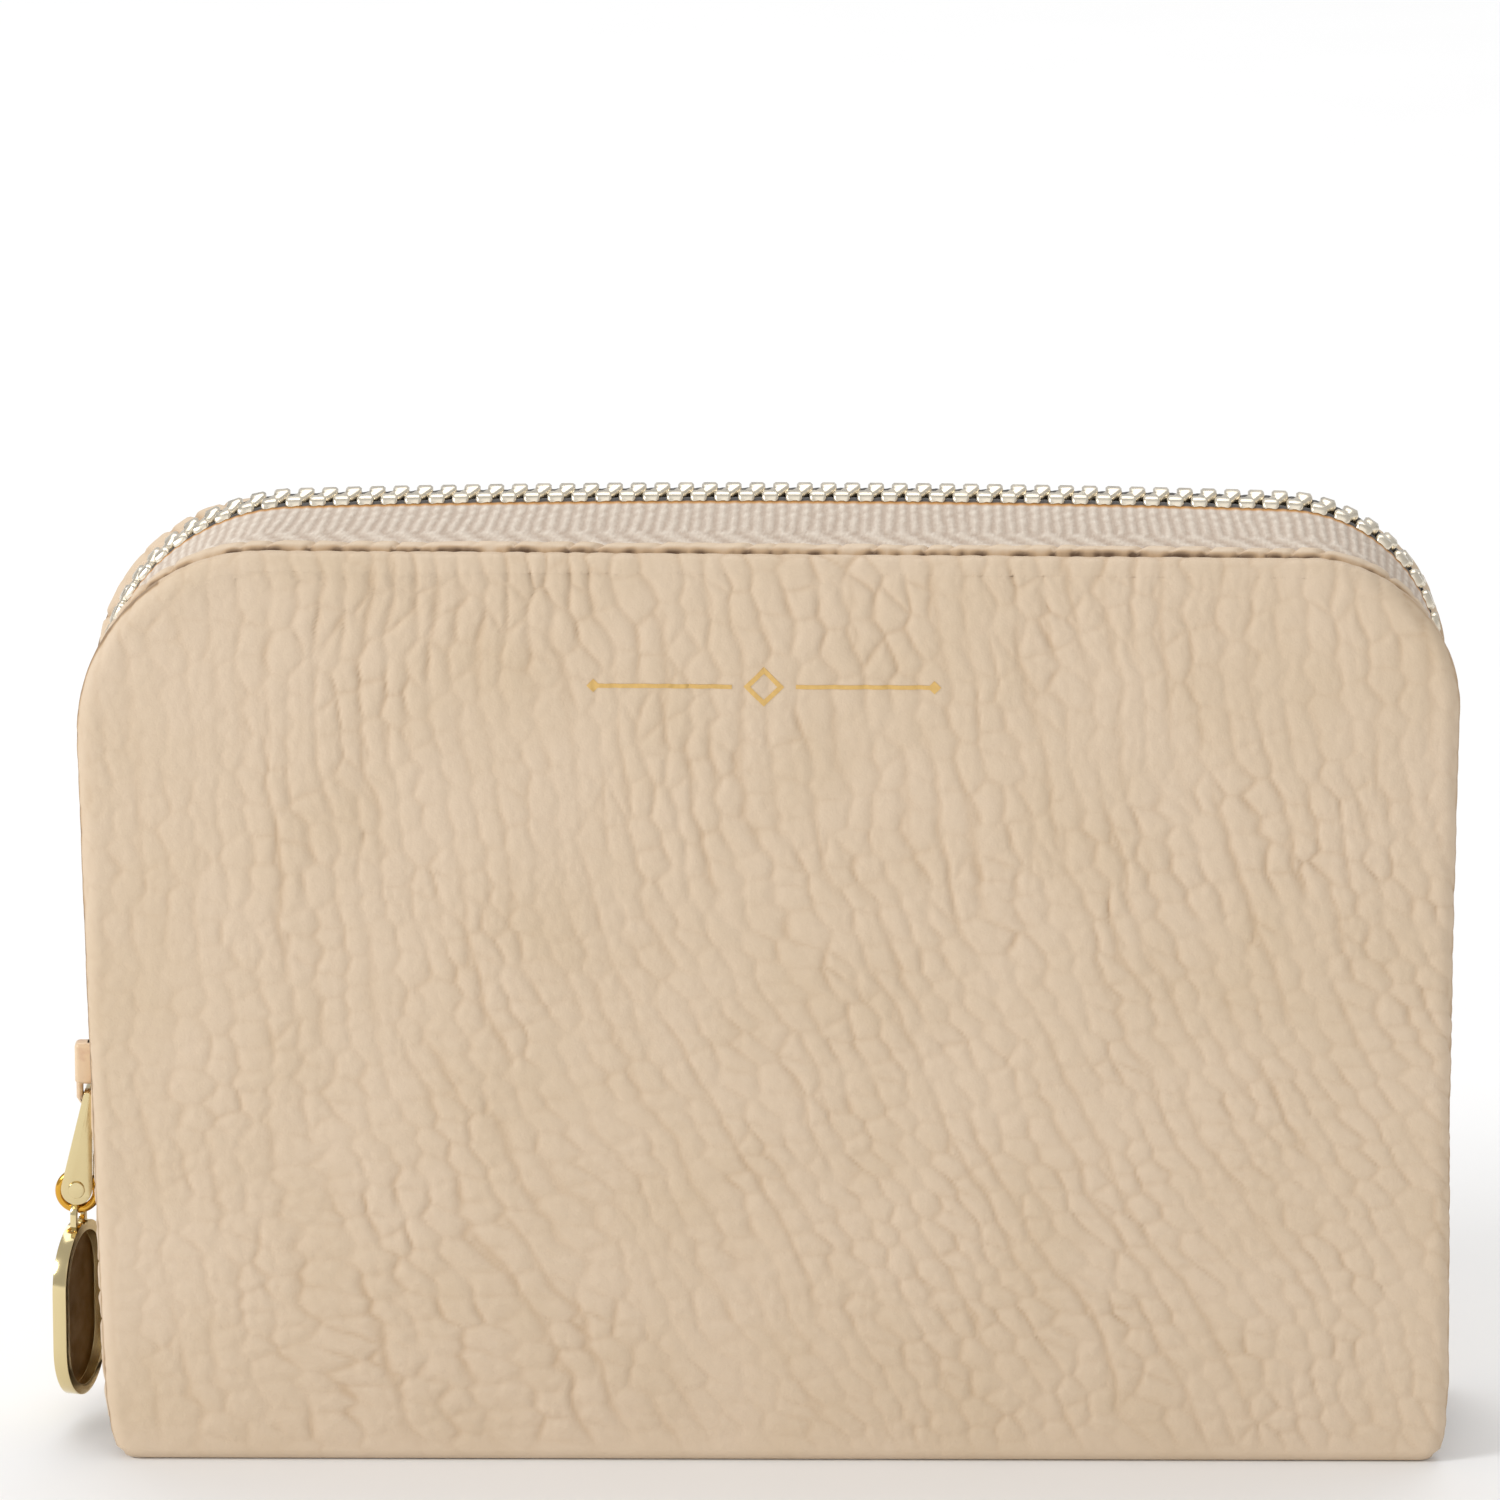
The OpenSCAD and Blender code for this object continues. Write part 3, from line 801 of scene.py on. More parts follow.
@dataclass(frozen=True)
class Thread:
    """Twisted polyester sewing thread: two plies that turn round each other, with a soft gloss."""

    name: str = "twisted_polyester_thread"
    colour: str = "#D8C6AC"
    gap: str = "#A8926F"
    ply_mm: float = 0.35

    def make(self) -> bpy.types.Material:
        """Builds the material on Object coordinates.

        Returns:
            The material.
        """
        material, tree, shader = start_material(self.name)
        place = add_node(tree, "TexCoord").outputs["Object"]
        plies = add_node(
            tree, "TexWave", {"wave_type": "BANDS", "bands_direction": "DIAGONAL"},
            {"Scale": 0.314 / (self.ply_mm * MM)}, {"Vector": place},
        ).outputs["Fac"]
        # The grooves between the plies are darker: painted shade.
        colour = add_node(
            tree, "Mix", {"data_type": "RGBA"}, {6: srgb(self.gap), 7: srgb(self.colour)}, {0: plies}
        ).outputs[2]
        bump = add_node(tree, "Bump", values={"Strength": 0.5, "Distance": 0.05 * MM}, links={"Height": plies})
        tree.links.new(colour, shader.inputs["Base Color"])
        tree.links.new(bump.outputs["Normal"], shader.inputs["Normal"])
        shader.inputs["Roughness"].default_value = 0.5
        return material


@dataclass(frozen=True)
class StudioFloor:
    """Smooth white paper sweep under the wallet."""

    name: str = "white_paper_sweep"
    colour: str = "#F6F6F6"

    def make(self) -> bpy.types.Material:
        """Builds a matt white material with the faintest mottling of paper.

        Returns:
            The material.
        """
        material, tree, shader = start_material(self.name)
        place = add_node(tree, "TexCoord").outputs["Object"]
        mottle = add_node(
            tree, "TexNoise", values={"Scale": 30.0, "Detail": 2.0}, links={"Vector": place}
        ).outputs["Fac"]
        colour = add_node(
            tree, "Mix", {"data_type": "RGBA"}, {6: srgb(self.colour), 7: srgb("#F3F3F3")}, {0: mottle}
        ).outputs[2]
        tree.links.new(colour, shader.inputs["Base Color"])
        shader.inputs["Roughness"].default_value = 0.85
        return material


@dataclass
class Finishes:
    """Every material of the wallet, made once."""

    leather: bpy.types.Material
    split: bpy.types.Material
    tape: bpy.types.Material
    lining: bpy.types.Material
    teeth: bpy.types.Material
    cast: bpy.types.Material
    amber: bpy.types.Material
    hollow: bpy.types.Material
    enamel: bpy.types.Material
    thread: bpy.types.Material
    foil: bpy.types.Material
    foam: bpy.types.Material
    board: bpy.types.Material
    floor: bpy.types.Material

    @classmethod
    def make(cls) -> "Finishes":
        """Builds all the materials.

        Returns:
            The set of materials.
        """
        return cls(
            leather=GrainedLeather().make(),
            split=PlainLeather().make(),
            tape=WovenTape().make(),
            lining=LiningCloth().make(),
            teeth=PlatedMetal("polished_champagne_zip_teeth", "#E9DFCC", 0.28).make(),
            cast=PlatedMetal("polished_pale_gold_castings", "#DDCB9C", 0.14).make(),
            amber=PlatedMetal("polished_amber_gold_wire", "#D9A441", 0.12).make(),
            # Dark bronze for the charm's hollow: painted shade.
            hollow=PlatedMetal("painted_shade_dark_bronze", "#86642C", 0.42, 3.0).make(),
            enamel=Enamel().make(),
            thread=Thread().make(),
            foil=PressedFoil().make(),
            foam=FibreSheet("white_foam_sheet", "#F2F0EA", "#E2DED4").make(),
            board=FibreSheet("bonded_leather_board", "#A08C72", "#86735B").make(),
            floor=StudioFloor().make(),
        )


# -------- outlines


@dataclass(frozen=True)
class ArchRoute:
    """A route up the left side, round a corner, over the top, round the other corner and down the right side."""

    half_width: float
    top: float
    left_radius: float
    right_radius: float
    low_left: float
    low_right: float
    crown: float = 40000.0

    def runs(self) -> list[tuple[float, Callable[[Array], tuple[Array, Array]]]]:
        """Lists the five runs of the route: each one's length, and its points and outward normals at distances.

        Returns:
            Each run's length, with the function that walks it.
        """
        crown_z = self.top - self.crown
        centres = []
        for radius, side in ((self.left_radius, -1), (self.right_radius, 1)):
            x = self.half_width - radius
            centres.append((side * x, crown_z + math.sqrt((self.crown - radius) ** 2 - x * x)))
        (lx, lz), (rx, rz) = centres
        left_turn = math.atan2(lz - crown_z, lx)
        right_turn = math.atan2(rz - crown_z, rx)
        return [
            (lz - self.low_left, lambda s: (
                np.stack([np.full_like(s, -self.half_width), self.low_left + s], -1),
                np.tile([-1.0, 0.0], (len(s), 1)))),
            (self.left_radius * (math.pi - left_turn),
             lambda s: self._arc(lx, lz, self.left_radius, math.pi - s / self.left_radius)),
            (self.crown * (left_turn - right_turn),
             lambda s: self._arc(0.0, crown_z, self.crown, left_turn - s / self.crown)),
            (self.right_radius * right_turn,
             lambda s: self._arc(rx, rz, self.right_radius, right_turn - s / self.right_radius)),
            (rz - self.low_right, lambda s: (
                np.stack([np.full_like(s, self.half_width), rz - s], -1),
                np.tile([1.0, 0.0], (len(s), 1)))),
        ]

    @staticmethod
    def _arc(x: float, z: float, radius: float, angle: Array) -> tuple[Array, Array]:
        """Points and normals at angles on a circle."""
        normal = np.stack([np.cos(angle), np.sin(angle)], -1)
        return np.array([x, z]) + radius * normal, normal

    def at(self, distances: Array) -> tuple[Array, Array]:
        """Points and outward normals, as x and z, at distances along the route.

        Args:
            distances: Distances from the start of the route.

        Returns:
            The points and the normals.
        """
        points, normals = np.zeros((len(distances), 2)), np.zeros((len(distances), 2))
        start = 0.0
        for length, walk in self.runs():
            mask = (distances >= start - 1e-9) & (distances <= start + length + 1e-6)
            points[mask], normals[mask] = walk(distances[mask] - start)
            start += length
        return points, normals

    def stations(self, steps: Sequence[int]) -> tuple[Array, Array, Array]:
        """Walks the route with a set number of steps in each of its runs.

        Args:
            steps: Steps in each run.

        Returns:
            The points as x and z, the outward normals, and each point's distance along the route.
        """
        found, start = [], 0.0
        for (length, _), count in zip(self.runs(), steps):
            found.append(start + np.linspace(0, length, count, endpoint=False))
            start += length
        distances = np.concatenate(found + [np.array([start])])
        return (*self.at(distances), distances)

    def even_steps(self, spacing: float) -> list[int]:
        """Steps for each run that are near a spacing in millimetres."""
        return [max(int(round(length / spacing)), 2) for length, _ in self.runs()]


TAPE_ROUTE = ArchRoute(63.1, 91.6, 18.9, 14.9, 4.0, 4.0, 1600.0)
CHAIN_ROUTE = ArchRoute(63.1, 91.6, 18.9, 14.9, 33.6, 16.0, 1600.0)
STRIP_ROUTE = ArchRoute(63.4, 88.6, 15.9, 12.9, 3.4, 3.4)


def top_fall(points: Array) -> Array:
    """How far the top edge has fallen at each point: 0.75 mm at the right end, none at the left or low down."""
    return 0.75 * (points[..., 0] + 65) / 130 * smooth_step(40, 89, points[..., 2])


@dataclass(frozen=True)
class CoverOutline:
    """Outline of a cover, seen from the front, with the hand-made drift of its sides.

    The left side leans in a little towards the spine and the right side is nearly upright.
    """

    half_width: float = 65.0
    top: float = 89.0
    left_radius: float = 17.5
    right_radius: float = 14.5
    left_lean: tuple = ((0, 3.5), (1.2, 2.7), (2.8, 2.2), (6, 1.75), (25, 1.15), (45, 0.55), (70, 0.0), (90, 0.0))
    right_lean: tuple = ((0, 1.5), (1.2, 0.7), (2.8, 0.35), (8, 0.0), (35, 0.35), (55, 0.3), (76, 0.0), (90, 0.0))

    def side(self, z: Array, which: Side, inset: float) -> tuple[Array, Array]:
        """Finds the edge at some heights.

        Args:
            z: Heights.
            which: The side of the cover.
            inset: How far inside the edge to measure.

        Returns:
            The edge's x and its outward normal as x, z.
        """
        radius = self.left_radius if which is Side.LEFT else self.right_radius
        lean = self.left_lean if which is Side.LEFT else self.right_lean
        drift = np.interp(z, [p[0] for p in lean], [p[1] for p in lean])
        centre = self.top - radius
        rise = np.clip((z - centre) / (radius - inset), 0, 1)
        across = np.sqrt(np.maximum(1 - rise**2, 0))
        x = which.value * (self.half_width - radius + (radius - inset) * across - drift)
        return x, np.stack([which.value * across, rise], -1)


# -------- leather covers


@dataclass
class LeatherGrain:
    """The creased surface of milled leather, as a height over a flat sheet.

    Long pebbles lie mostly up and down, with soft wavy creases between them. They are longest at the
    top, where the hide is stretched over the edge, and shorter and fainter towards the spine.
    """

    seed: int = 41
    column: float = 2.7
    top_length: float = 3.8
    low_length: float = 2.5
    depth: float = 0.115
    pillow: float = 0.145
    fine: float = 0.07

    def at(self, x: Array, s: Array) -> tuple[Array, Array]:
        """Measures the surface.

        Args:
            x: Place across the sheet, in millimetres.
            s: Place along the sheet, in millimetres from the middle of the spine.

        Returns:
            The height over the flat sheet in millimetres, and how creased it is, from 0 to 1.
        """
        sway, vary, slow = SmoothNoise(self.seed + 1), SmoothNoise(self.seed + 2), SmoothNoise(self.seed + 3)
        upper = smooth_step(45, 105, np.abs(s))
        length = self.low_length + (self.top_length - self.low_length) * upper
        knots = np.linspace(0, 130, 521)
        rise = smooth_step(45, 105, knots)
        lengths = self.low_length + (self.top_length - self.low_length) * rise
        cells_along = np.concatenate([[0], np.cumsum((knots[1] - knots[0]) / lengths)])
        along = np.sign(s) * np.interp(np.abs(s), knots, cells_along[:-1])
        leaning = (0.06 + 0.42 * smooth_step(-68, 4, x)) * (1 - 0.5 * upper)
        bent = x + leaning * (s - 60) + 0.8 * sway.rough(x / 8, s / 9, 2) + 1.6 * slow.rough(x / 22, s / 26, 2)
        bent = bent + 0.3 * vary.rough(x / 3.0 + 20, s / 3.0 + 2, 2)
        along = along + 0.2 * sway.rough(x / 7 + 40, s / 9 + 9, 2) + 0.07 * vary.rough(x / 3.4 + 60, s / 4 + 30, 2)
        crease, dome = Cells(self.seed + 5, self.column, 0.24, 0.6, 0.38, (0.5, 0.8), 0.5).at(bent, along, length)
        line = np.round(bent / self.column)
        apart = np.abs(bent - line * self.column + 0.2 * sway.at(s / 1.6, x / 4 + 70))
        fold = np.clip(1.15 * slow.at(line * 3.77 + 5, s / 8 + line * 0.7), 0, 0.8)
        fold_crease, fold_valley = (fold * np.exp(-((apart / width) ** 2)) for width in (0.3, 0.7))
        dome = np.minimum(dome, 1 - fold_valley)
        small, bead = Cells(self.seed + 9, 1.2, 0.22, 0.5, 0.6).at(bent + 30, along * 1.9 + 11, length / 1.9)
        strength = np.clip(0.9 + 0.3 * vary.rough(x / 9, s / 12, 2), 0.5, 1.25)
        strength *= 0.5 + 0.5 * smooth_step(-66, -42, x)
        crease = crease * np.clip(0.7 + 0.6 * sway.rough(x / 2.9 + 80, s / 3.4 + 50, 2), 0.1, 1.3)
        crease = np.maximum(crease, 1.1 * fold_crease)
        patch = np.clip(0.45 + 0.3 * vary.rough(x / 7 + 3, s / 7 + 8, 2), 0.1, 0.8)
        height = strength * (self.pillow * dome - self.depth * crease) - self.fine * patch * (small - 0.5 * bead)
        height += 0.09 * slow.rough(x / 9 + 5, s / 14 + 3, 2)
        # The second value darkens the colour in the creases as painted shade.
        return height, np.clip(0.45 * crease * strength + 0.15 * small * patch, 0, 1)


@dataclass
class Pillow:
    """The swell of a padded cover, found by blowing up a sheet of cloth that is held all round."""

    size: tuple[float, float] = (130.0, 89.0)
    cell: float = 2.0
    frames: int = 20
    pressure: float = 4.0
    most: float = 0.5
    heights: Array = field(default_factory=lambda: np.zeros((2, 2)))

    def blow(self) -> "Pillow":
        """Runs the cloth simulation on a coarse sheet and keeps its heights, scaled to the foam's swell.

        Returns:
            This swell, with its heights filled in.
        """
        across, up = (int(length / self.cell) for length in self.size)
        bpy.ops.object.select_all(action="DESELECT")
        bpy.ops.mesh.primitive_grid_add(x_subdivisions=across, y_subdivisions=up, size=1.0)
        sheet = bpy.context.object
        sheet.scale = (self.size[0] * MM, self.size[1] * MM, 1.0)
        place_in_mesh(sheet)
        flat = np.array([v.co for v in sheet.data.vertices])
        half = np.array(self.size) * MM / 2
        edge = (np.abs(flat[:, 0]) > half[0] - 1e-5) | (np.abs(flat[:, 1]) > half[1] - 1e-5)
        held = sheet.vertex_groups.new(name="held")
        held.add([int(i) for i in np.nonzero(edge)[0]], 1.0, "REPLACE")
        cloth = sheet.modifiers.new("Cloth", "CLOTH")
        cloth.settings.vertex_group_mass = "held"
        cloth.settings.use_pressure = True
        cloth.settings.uniform_pressure_force = self.pressure
        cloth.settings.effector_weights.gravity = 0.0
        scene = bpy.context.scene
        for frame in range(1, self.frames + 1):
            scene.frame_set(frame)
        shaped = sheet.evaluated_get(bpy.context.evaluated_depsgraph_get()).data
        height = np.abs(np.array([v.co.z for v in shaped.vertices]) - flat[:, 2])
        scene.frame_set(1)
        bpy.data.objects.remove(sheet, do_unlink=True)
        order = np.lexsort((flat[:, 0].round(6), flat[:, 1].round(6)))
        columns = len(np.unique(flat[:, 0].round(6)))
        grid = height[order].reshape(-1, columns)
        self.heights = grid / max(grid.max(), 1e-9) * self.most
        log.info("cover swell from cloth: %.2f mm, scaled to %.2f mm", height.max() / MM, self.most)
        return self

    def at(self, x: Array, z: Array) -> Array:
        """Interpolates the swell at places on the cover.

        Args:
            x: Places across the cover.
            z: Heights on the cover.

        Returns:
            The swell at each place.
        """
        rows, columns = self.heights.shape
        u = np.clip((x / self.size[0] + 0.5) * (columns - 1), 0, columns - 1.001)
        v = np.clip(z / self.size[1] * (rows - 1), 0, rows - 1.001)
        iu, iv = np.floor(u).astype(int), np.floor(v).astype(int)
        fu, fv = u - iu, v - iv
        h = self.heights
        low = h[iv, iu] * (1 - fu) + h[iv, iu + 1] * fu
        high = h[iv + 1, iu] * (1 - fu) + h[iv + 1, iu + 1] * fu
        return low * (1 - fv) + high * fv


@dataclass
class PaddedCover:
    """The leather of one half: over the padded cover, round the fold and under half of the spine."""

    half: Half
    finishes: Finishes
    outline: CoverOutline = field(default_factory=CoverOutline)
    spacing: float = 0.34
    face_y: float = 13.0
    fold_radius: float = 1.25
    edge_run: float = 1.5
    thickness: float = 2.5
    spine_thickness: float = 1.15
    # Strength of the painted shade on the turned-under edge.
    burnish: float = 1.5
    pillow: Optional["Pillow"] = None
    grain: LeatherGrain = field(default_factory=LeatherGrain)

    def build(self) -> bpy.types.Object:
        """Makes the leather and gives it its grain.

        Returns:
            The cover's leather.
        """
        rows = self._rows()
        face, uv, normals, depth = self._face(rows)
        count, columns = len(rows), face.shape[1]
        edge, edge_uv, edge_out = self._edge_chain(face, uv, normals, depth)
        points = np.concatenate([face.reshape(-1, 3), edge.reshape(-1, 3)])
        places = np.concatenate([uv.reshape(-1, 2), edge_uv.reshape(-1, 2)])
        out = np.concatenate([normals.repeat(columns, 1).reshape(-1, 3), edge_out.reshape(-1, 3)])
        moved, crease = self._with_grain(points, places, out, count * columns, edge.shape)
        faces = grid_faces(count, columns) + self._edge_faces(count, columns, edge.shape)
        piece = new_mesh(f"{self.half.prefix}_padded_leather", moved, faces)
        store_value(piece, "crease", crease)
        face_out(piece)
        smooth(piece, 60)
        dress(piece, self.finishes.leather)
        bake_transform(piece)
        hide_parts(f"{self.half.prefix}_cover_leather", "spine_leather")
        return piece

    def surface(self, x: Array, z: Array) -> Array:
        """Finds the finished surface over points of the flat face.

        Args:
            x: Places across the cover.
            z: Heights on the flat face, above the fold.

        Returns:
            Points of the leather, in millimetres.
        """
        base = self.face_y - self.fold_radius + self.fold_radius * math.pi / 2 - self.fold_radius
        height, _ = self.grain.at(x, -self.half.value * (base + z))
        flat = np.stack([x, np.full_like(x, self.half.value * self.face_y), z], -1)
        flat[:, 1] += self.half.value * (height + self._swell(flat))
        flat[:, 2] -= top_fall(flat)
        return flat

    def _rows(self) -> list[tuple[float, float, float, float, float]]:
        """Lists the sheet's rows from the middle of the spine to the top.

        Returns:
            For each row: distance along the sheet, depth, height, and the outward normal's y and z.
        """
        step, r, y = self.spacing, self.fold_radius, self.face_y
        rows = []
        flat = y - r
        for t in np.linspace(0, 1, int(flat / (step * 1.6)))[:-1]:
            rows.append((t * flat, t * flat, 0.0, 0.0, -1.0))
        quarter = r * math.pi / 2
        for t in np.linspace(0, 1, 8)[:-1]:
            a = t * math.pi / 2
            rows.append((flat + t * quarter, flat + r * math.sin(a), r - r * math.cos(a), math.sin(a), -math.cos(a)))
        base = flat + quarter
        corner = self.outline.left_radius - self.edge_run
        turn = self.outline.top - self.outline.left_radius
        for z in np.linspace(r, turn, int((turn - r) / step))[:-1]:
            rows.append((base + z - r, y, z, 1.0, 0.0))
        for a in np.linspace(0, math.pi / 2, int(corner * math.pi / 2 / step)):
            z = turn + corner * math.sin(a)
            rows.append((base + z - r, y, z, 1.0, 0.0))
        return rows

    def _face(self, rows: list) -> tuple[Array, Array, Array, Array]:
        """Lays out the grid of the face, in from the edges by the edge's run.

        Args:
            rows: Stations of the side profile: place on the sheet, y, z and outward y and z.

        Returns:
            Points, their places on the sheet, outward directions, and the leather's thickness by row.
        """
        table = np.array(rows)
        s, y, z, ny, nz = table.T
        left, _ = self.outline.side(z, Side.LEFT, self.edge_run)
        right, _ = self.outline.side(z, Side.RIGHT, self.edge_run)
        columns = int(2 * self.outline.half_width / self.spacing)
        t = np.linspace(0, 1, columns)[None, :]
        x = left[:, None] * (1 - t) + right[:, None] * t
        side = self.half.value
        face = np.stack([x, np.broadcast_to((side * y)[:, None], x.shape), np.broadcast_to(z[:, None], x.shape)], -1)
        uv = np.stack([x, np.broadcast_to(s[:, None], x.shape)], -1)
        normals = np.stack([np.zeros_like(ny), side * ny, nz], -1)[:, None, :]
        turned = smooth_step(0.2, 0.9, ny)
        depth = self.spine_thickness + (self.thickness - self.spine_thickness) * turned
        return face, uv, normals, depth

    def _border(self, count: int, columns: int) -> tuple[list[int], list[int]]:
        """Rows and columns of the grid's border, up the left side, over the top and down the right side.

        Args:
            count: Rows of the face.
            columns: Points in a row.

        Returns:
            The rows and the columns of its points.
        """
        rows = [*range(count), *([count - 1] * (columns - 2)), *range(count - 1, -1, -1)]
        cols = [*([0] * count), *range(1, columns - 1), *([columns - 1] * count)]
        return rows, cols

    def _edge_chain(self, face: Array, uv: Array, normals: Array, depth: Array) -> tuple[Array, Array, Array]:
        """Rolls the leather over the edge and turns it in behind the board.

        Args:
            face: Points of the face.
            uv: Their places on the sheet.
            normals: Outward directions by row.
            depth: The leather's thickness by row.

        Returns:
            Loops of points round the edge, their places on the sheet and their outward directions.
        """
        count, columns = face.shape[:2]
        z = face[:, 0, 2]
        _, left_out = self.outline.side(z, Side.LEFT, self.edge_run)
        _, right_out = self.outline.side(z, Side.RIGHT, self.edge_run)
        rows, cols = self._border(count, columns)
        sideways = np.concatenate([left_out, np.tile([0.0, 1.0], (columns - 2, 1)), right_out[::-1]])
        start, place = face[rows, cols], uv[rows, cols]
        normal, deep = normals[rows, 0], depth[rows][:, None]
        outward = np.stack([sideways[:, 0], np.zeros(len(rows)), sideways[:, 1]], -1)
        profile = [
            (self.edge_run * math.sin(a), 0.44 * (1 - math.cos(a)), a)
            for a in np.linspace(0, math.pi / 2, 7)[1:]
        ]
        profile += [
            (self.edge_run, 0.7, math.pi / 2),
            (self.edge_run - 0.12, 0.9, 2.2),
            (self.edge_run - 0.45, 1.0, 2.9),
            (self.edge_run - 1.4, 1.0, 3.1),
        ]
        loops, places, outs = [], [], []
        for run, sink, turn in profile:
            loops.append(start + outward * run - normal * deep * sink)
            places.append(place + sideways * (run + sink * 2.0))
            outs.append(outward * math.sin(turn) + normal * math.cos(turn))
        return np.array(loops), np.array(places), np.array(outs)

    def _edge_faces(self, count: int, columns: int, shape: tuple) -> list[list[int]]:
        """Joins the face's border to the first loop and each loop to the next.

        Args:
            count: Rows of the face.
            columns: Points in a row.
            shape: Rows and columns of the edge roll.

        Returns:
            The faces as point numbers.
        """
        rows, cols = self._border(count, columns)
        border = [r * columns + c for r, c in zip(rows, cols)]
        start = count * columns
        loops = [border] + [[start + k * shape[1] + i for i in range(shape[1])] for k in range(shape[0])]
        return [
            [inner[i], inner[i + 1], outer[i + 1], outer[i]]
            for inner, outer in zip(loops, loops[1:])
            for i in range(shape[1] - 1)
        ]

    def _with_grain(
        self, points: Array, places: Array, out: Array, face_count: int, shape: tuple
    ) -> tuple[Array, Array]:
        """Moves the points by the leather's grain and the swell of the padding.

        Args:
            points: The smooth sheet's points.
            places: Each point's place on the flat sheet.
            out: Each point's outward direction.
            face_count: How many points come before those of the edge roll.
            shape: Rows and columns of the edge roll.

        Returns:
            The moved points and each point's creasing, with the painted shade of the turned-under edge added.
        """
        height, crease = self.grain.at(places[:, 0], -self.half.value * places[:, 1])
        on_face = np.ones(len(points))
        for k in range(shape[0]):
            begin = face_count + k * shape[1]
            on_face[begin : begin + shape[1]] = 0.8 if k < 5 else 0.4 if k < 7 else 0.0
        base = smooth_step(0.4, 3.5, points[:, 2])
        # From its fourth loop on, the rolled edge is coloured darker as painted shade: fully on the left, half on the
        # right, faintly over the top.
        sides = np.arange(shape[1])
        dark = np.where(sides < shape[1] * 0.28, 1.0, np.where(sides > shape[1] * 0.72, 0.5, 0.15))
        for k in range(4, shape[0]):
            begin = face_count + k * shape[1]
            crease[begin : begin + shape[1]] += self.burnish * dark
        moved = points + out * (height * on_face * base)[:, None]
        moved[:, 1] += self.half.value * self._swell(points) * base
        moved[:, 2] -= top_fall(points)
        return moved, crease * (0.25 + 0.75 * base)

    def _swell(self, points: Array) -> Array:
        """Soft rise of the foam in from the edges, with slow hand-made unevenness.

        Args:
            points: Points of the face.

        Returns:
            The rise at each point.
        """
        left, _ = self.outline.side(points[:, 2], Side.LEFT, 0)
        right, _ = self.outline.side(points[:, 2], Side.RIGHT, 0)
        inside = np.minimum(np.minimum(points[:, 0] - left, right - points[:, 0]), self.outline.top - points[:, 2])
        slow = SmoothNoise(self.grain.seed + 20).rough(points[:, 0] / 34 + 3, points[:, 2] / 30 + 7, 2)
        swell = 0.16 * slow * smooth_step(2, 12, inside) - 0.1
        if self.pillow is None:
            return swell + 0.35 * smooth_step(0, 9, inside)
        return swell + self.pillow.at(points[:, 0], points[:, 2])


# -------- zip


@dataclass
class Tooth:
    """One cast tooth of a metal zip, modelled once and copied along a chain.

    X runs along the chain, Y from the jaws that grip the tape to the head, and Z across the chain.
    """

    leg: float = 1.52
    leg_start: float = -2.5
    leg_end: float = -0.95
    head_reach: float = 0.8
    head: float = 1.0
    top: float = 0.93
    bottom: float = -0.5
    lean: float = 0.4

    def build(self) -> bpy.types.Object:
        """Models the tooth from a cube: flared jaws, a leg, and a rounded head that leans to one side.

        Returns:
            The tooth.
        """
        bpy.ops.object.select_all(action="DESELECT")
        middle = (self.leg_start + self.leg_end) / 2
        bpy.ops.mesh.primitive_cube_add(size=1.0, location=(0, middle * MM, (self.top + self.bottom) / 2 * MM))
        tooth = bpy.context.object
        tooth.scale = (self.leg * MM, (self.leg_end - self.leg_start) * MM, (self.top - self.bottom) * MM)
        place_in_mesh(tooth)
        bpy.ops.object.mode_set(mode="EDIT")
        self._pull(tooth, 1.0, (self.lean * 0.3, 0.35, 0.0), (self.head / self.leg, 1.0, 0.86))
        self._pull(tooth, 1.0, (self.lean, self.head_reach - self.leg_end - 0.35, 0.0), (0.9, 1.0, 0.9))
        self._pull(tooth, -1.0, (0.0, -0.2, -0.3), (0.9, 1.0, 0.46))
        bpy.ops.object.mode_set(mode="OBJECT")
        finish_with(tooth, "BEVEL", width=0.2 * MM, segments=1, limit_method="ANGLE", angle_limit=math.radians(25))
        return smooth(tooth, 50)

    @staticmethod
    def _pull(tooth: bpy.types.Object, way: float, shift: tuple, size: tuple) -> None:
        """Extrudes the end face that looks along Y, then shifts and sizes it.

        Args:
            tooth: The tooth in edit mode.
            way: Which end moves, by the sign of Y.
            shift: How far it moves, in millimetres.
            size: How it is scaled.
        """
        mesh = bmesh.from_edit_mesh(tooth.data)
        bpy.ops.mesh.select_all(action="DESELECT")
        bpy.ops.mesh.select_mode(type="FACE")
        mesh.faces.ensure_lookup_table()
        ends = [f for f in mesh.faces if f.normal.y * way > 0.9]
        end = max(ends, key=lambda f: f.calc_center_median().y * way)
        end.select = True
        bmesh.update_edit_mesh(tooth.data)
        centre = end.calc_center_median()
        moved = tuple(v * MM for v in shift)
        bpy.ops.mesh.extrude_region_move(TRANSFORM_OT_translate={"value": moved})
        bpy.ops.transform.resize(value=size, center_override=centre + Vector(moved))


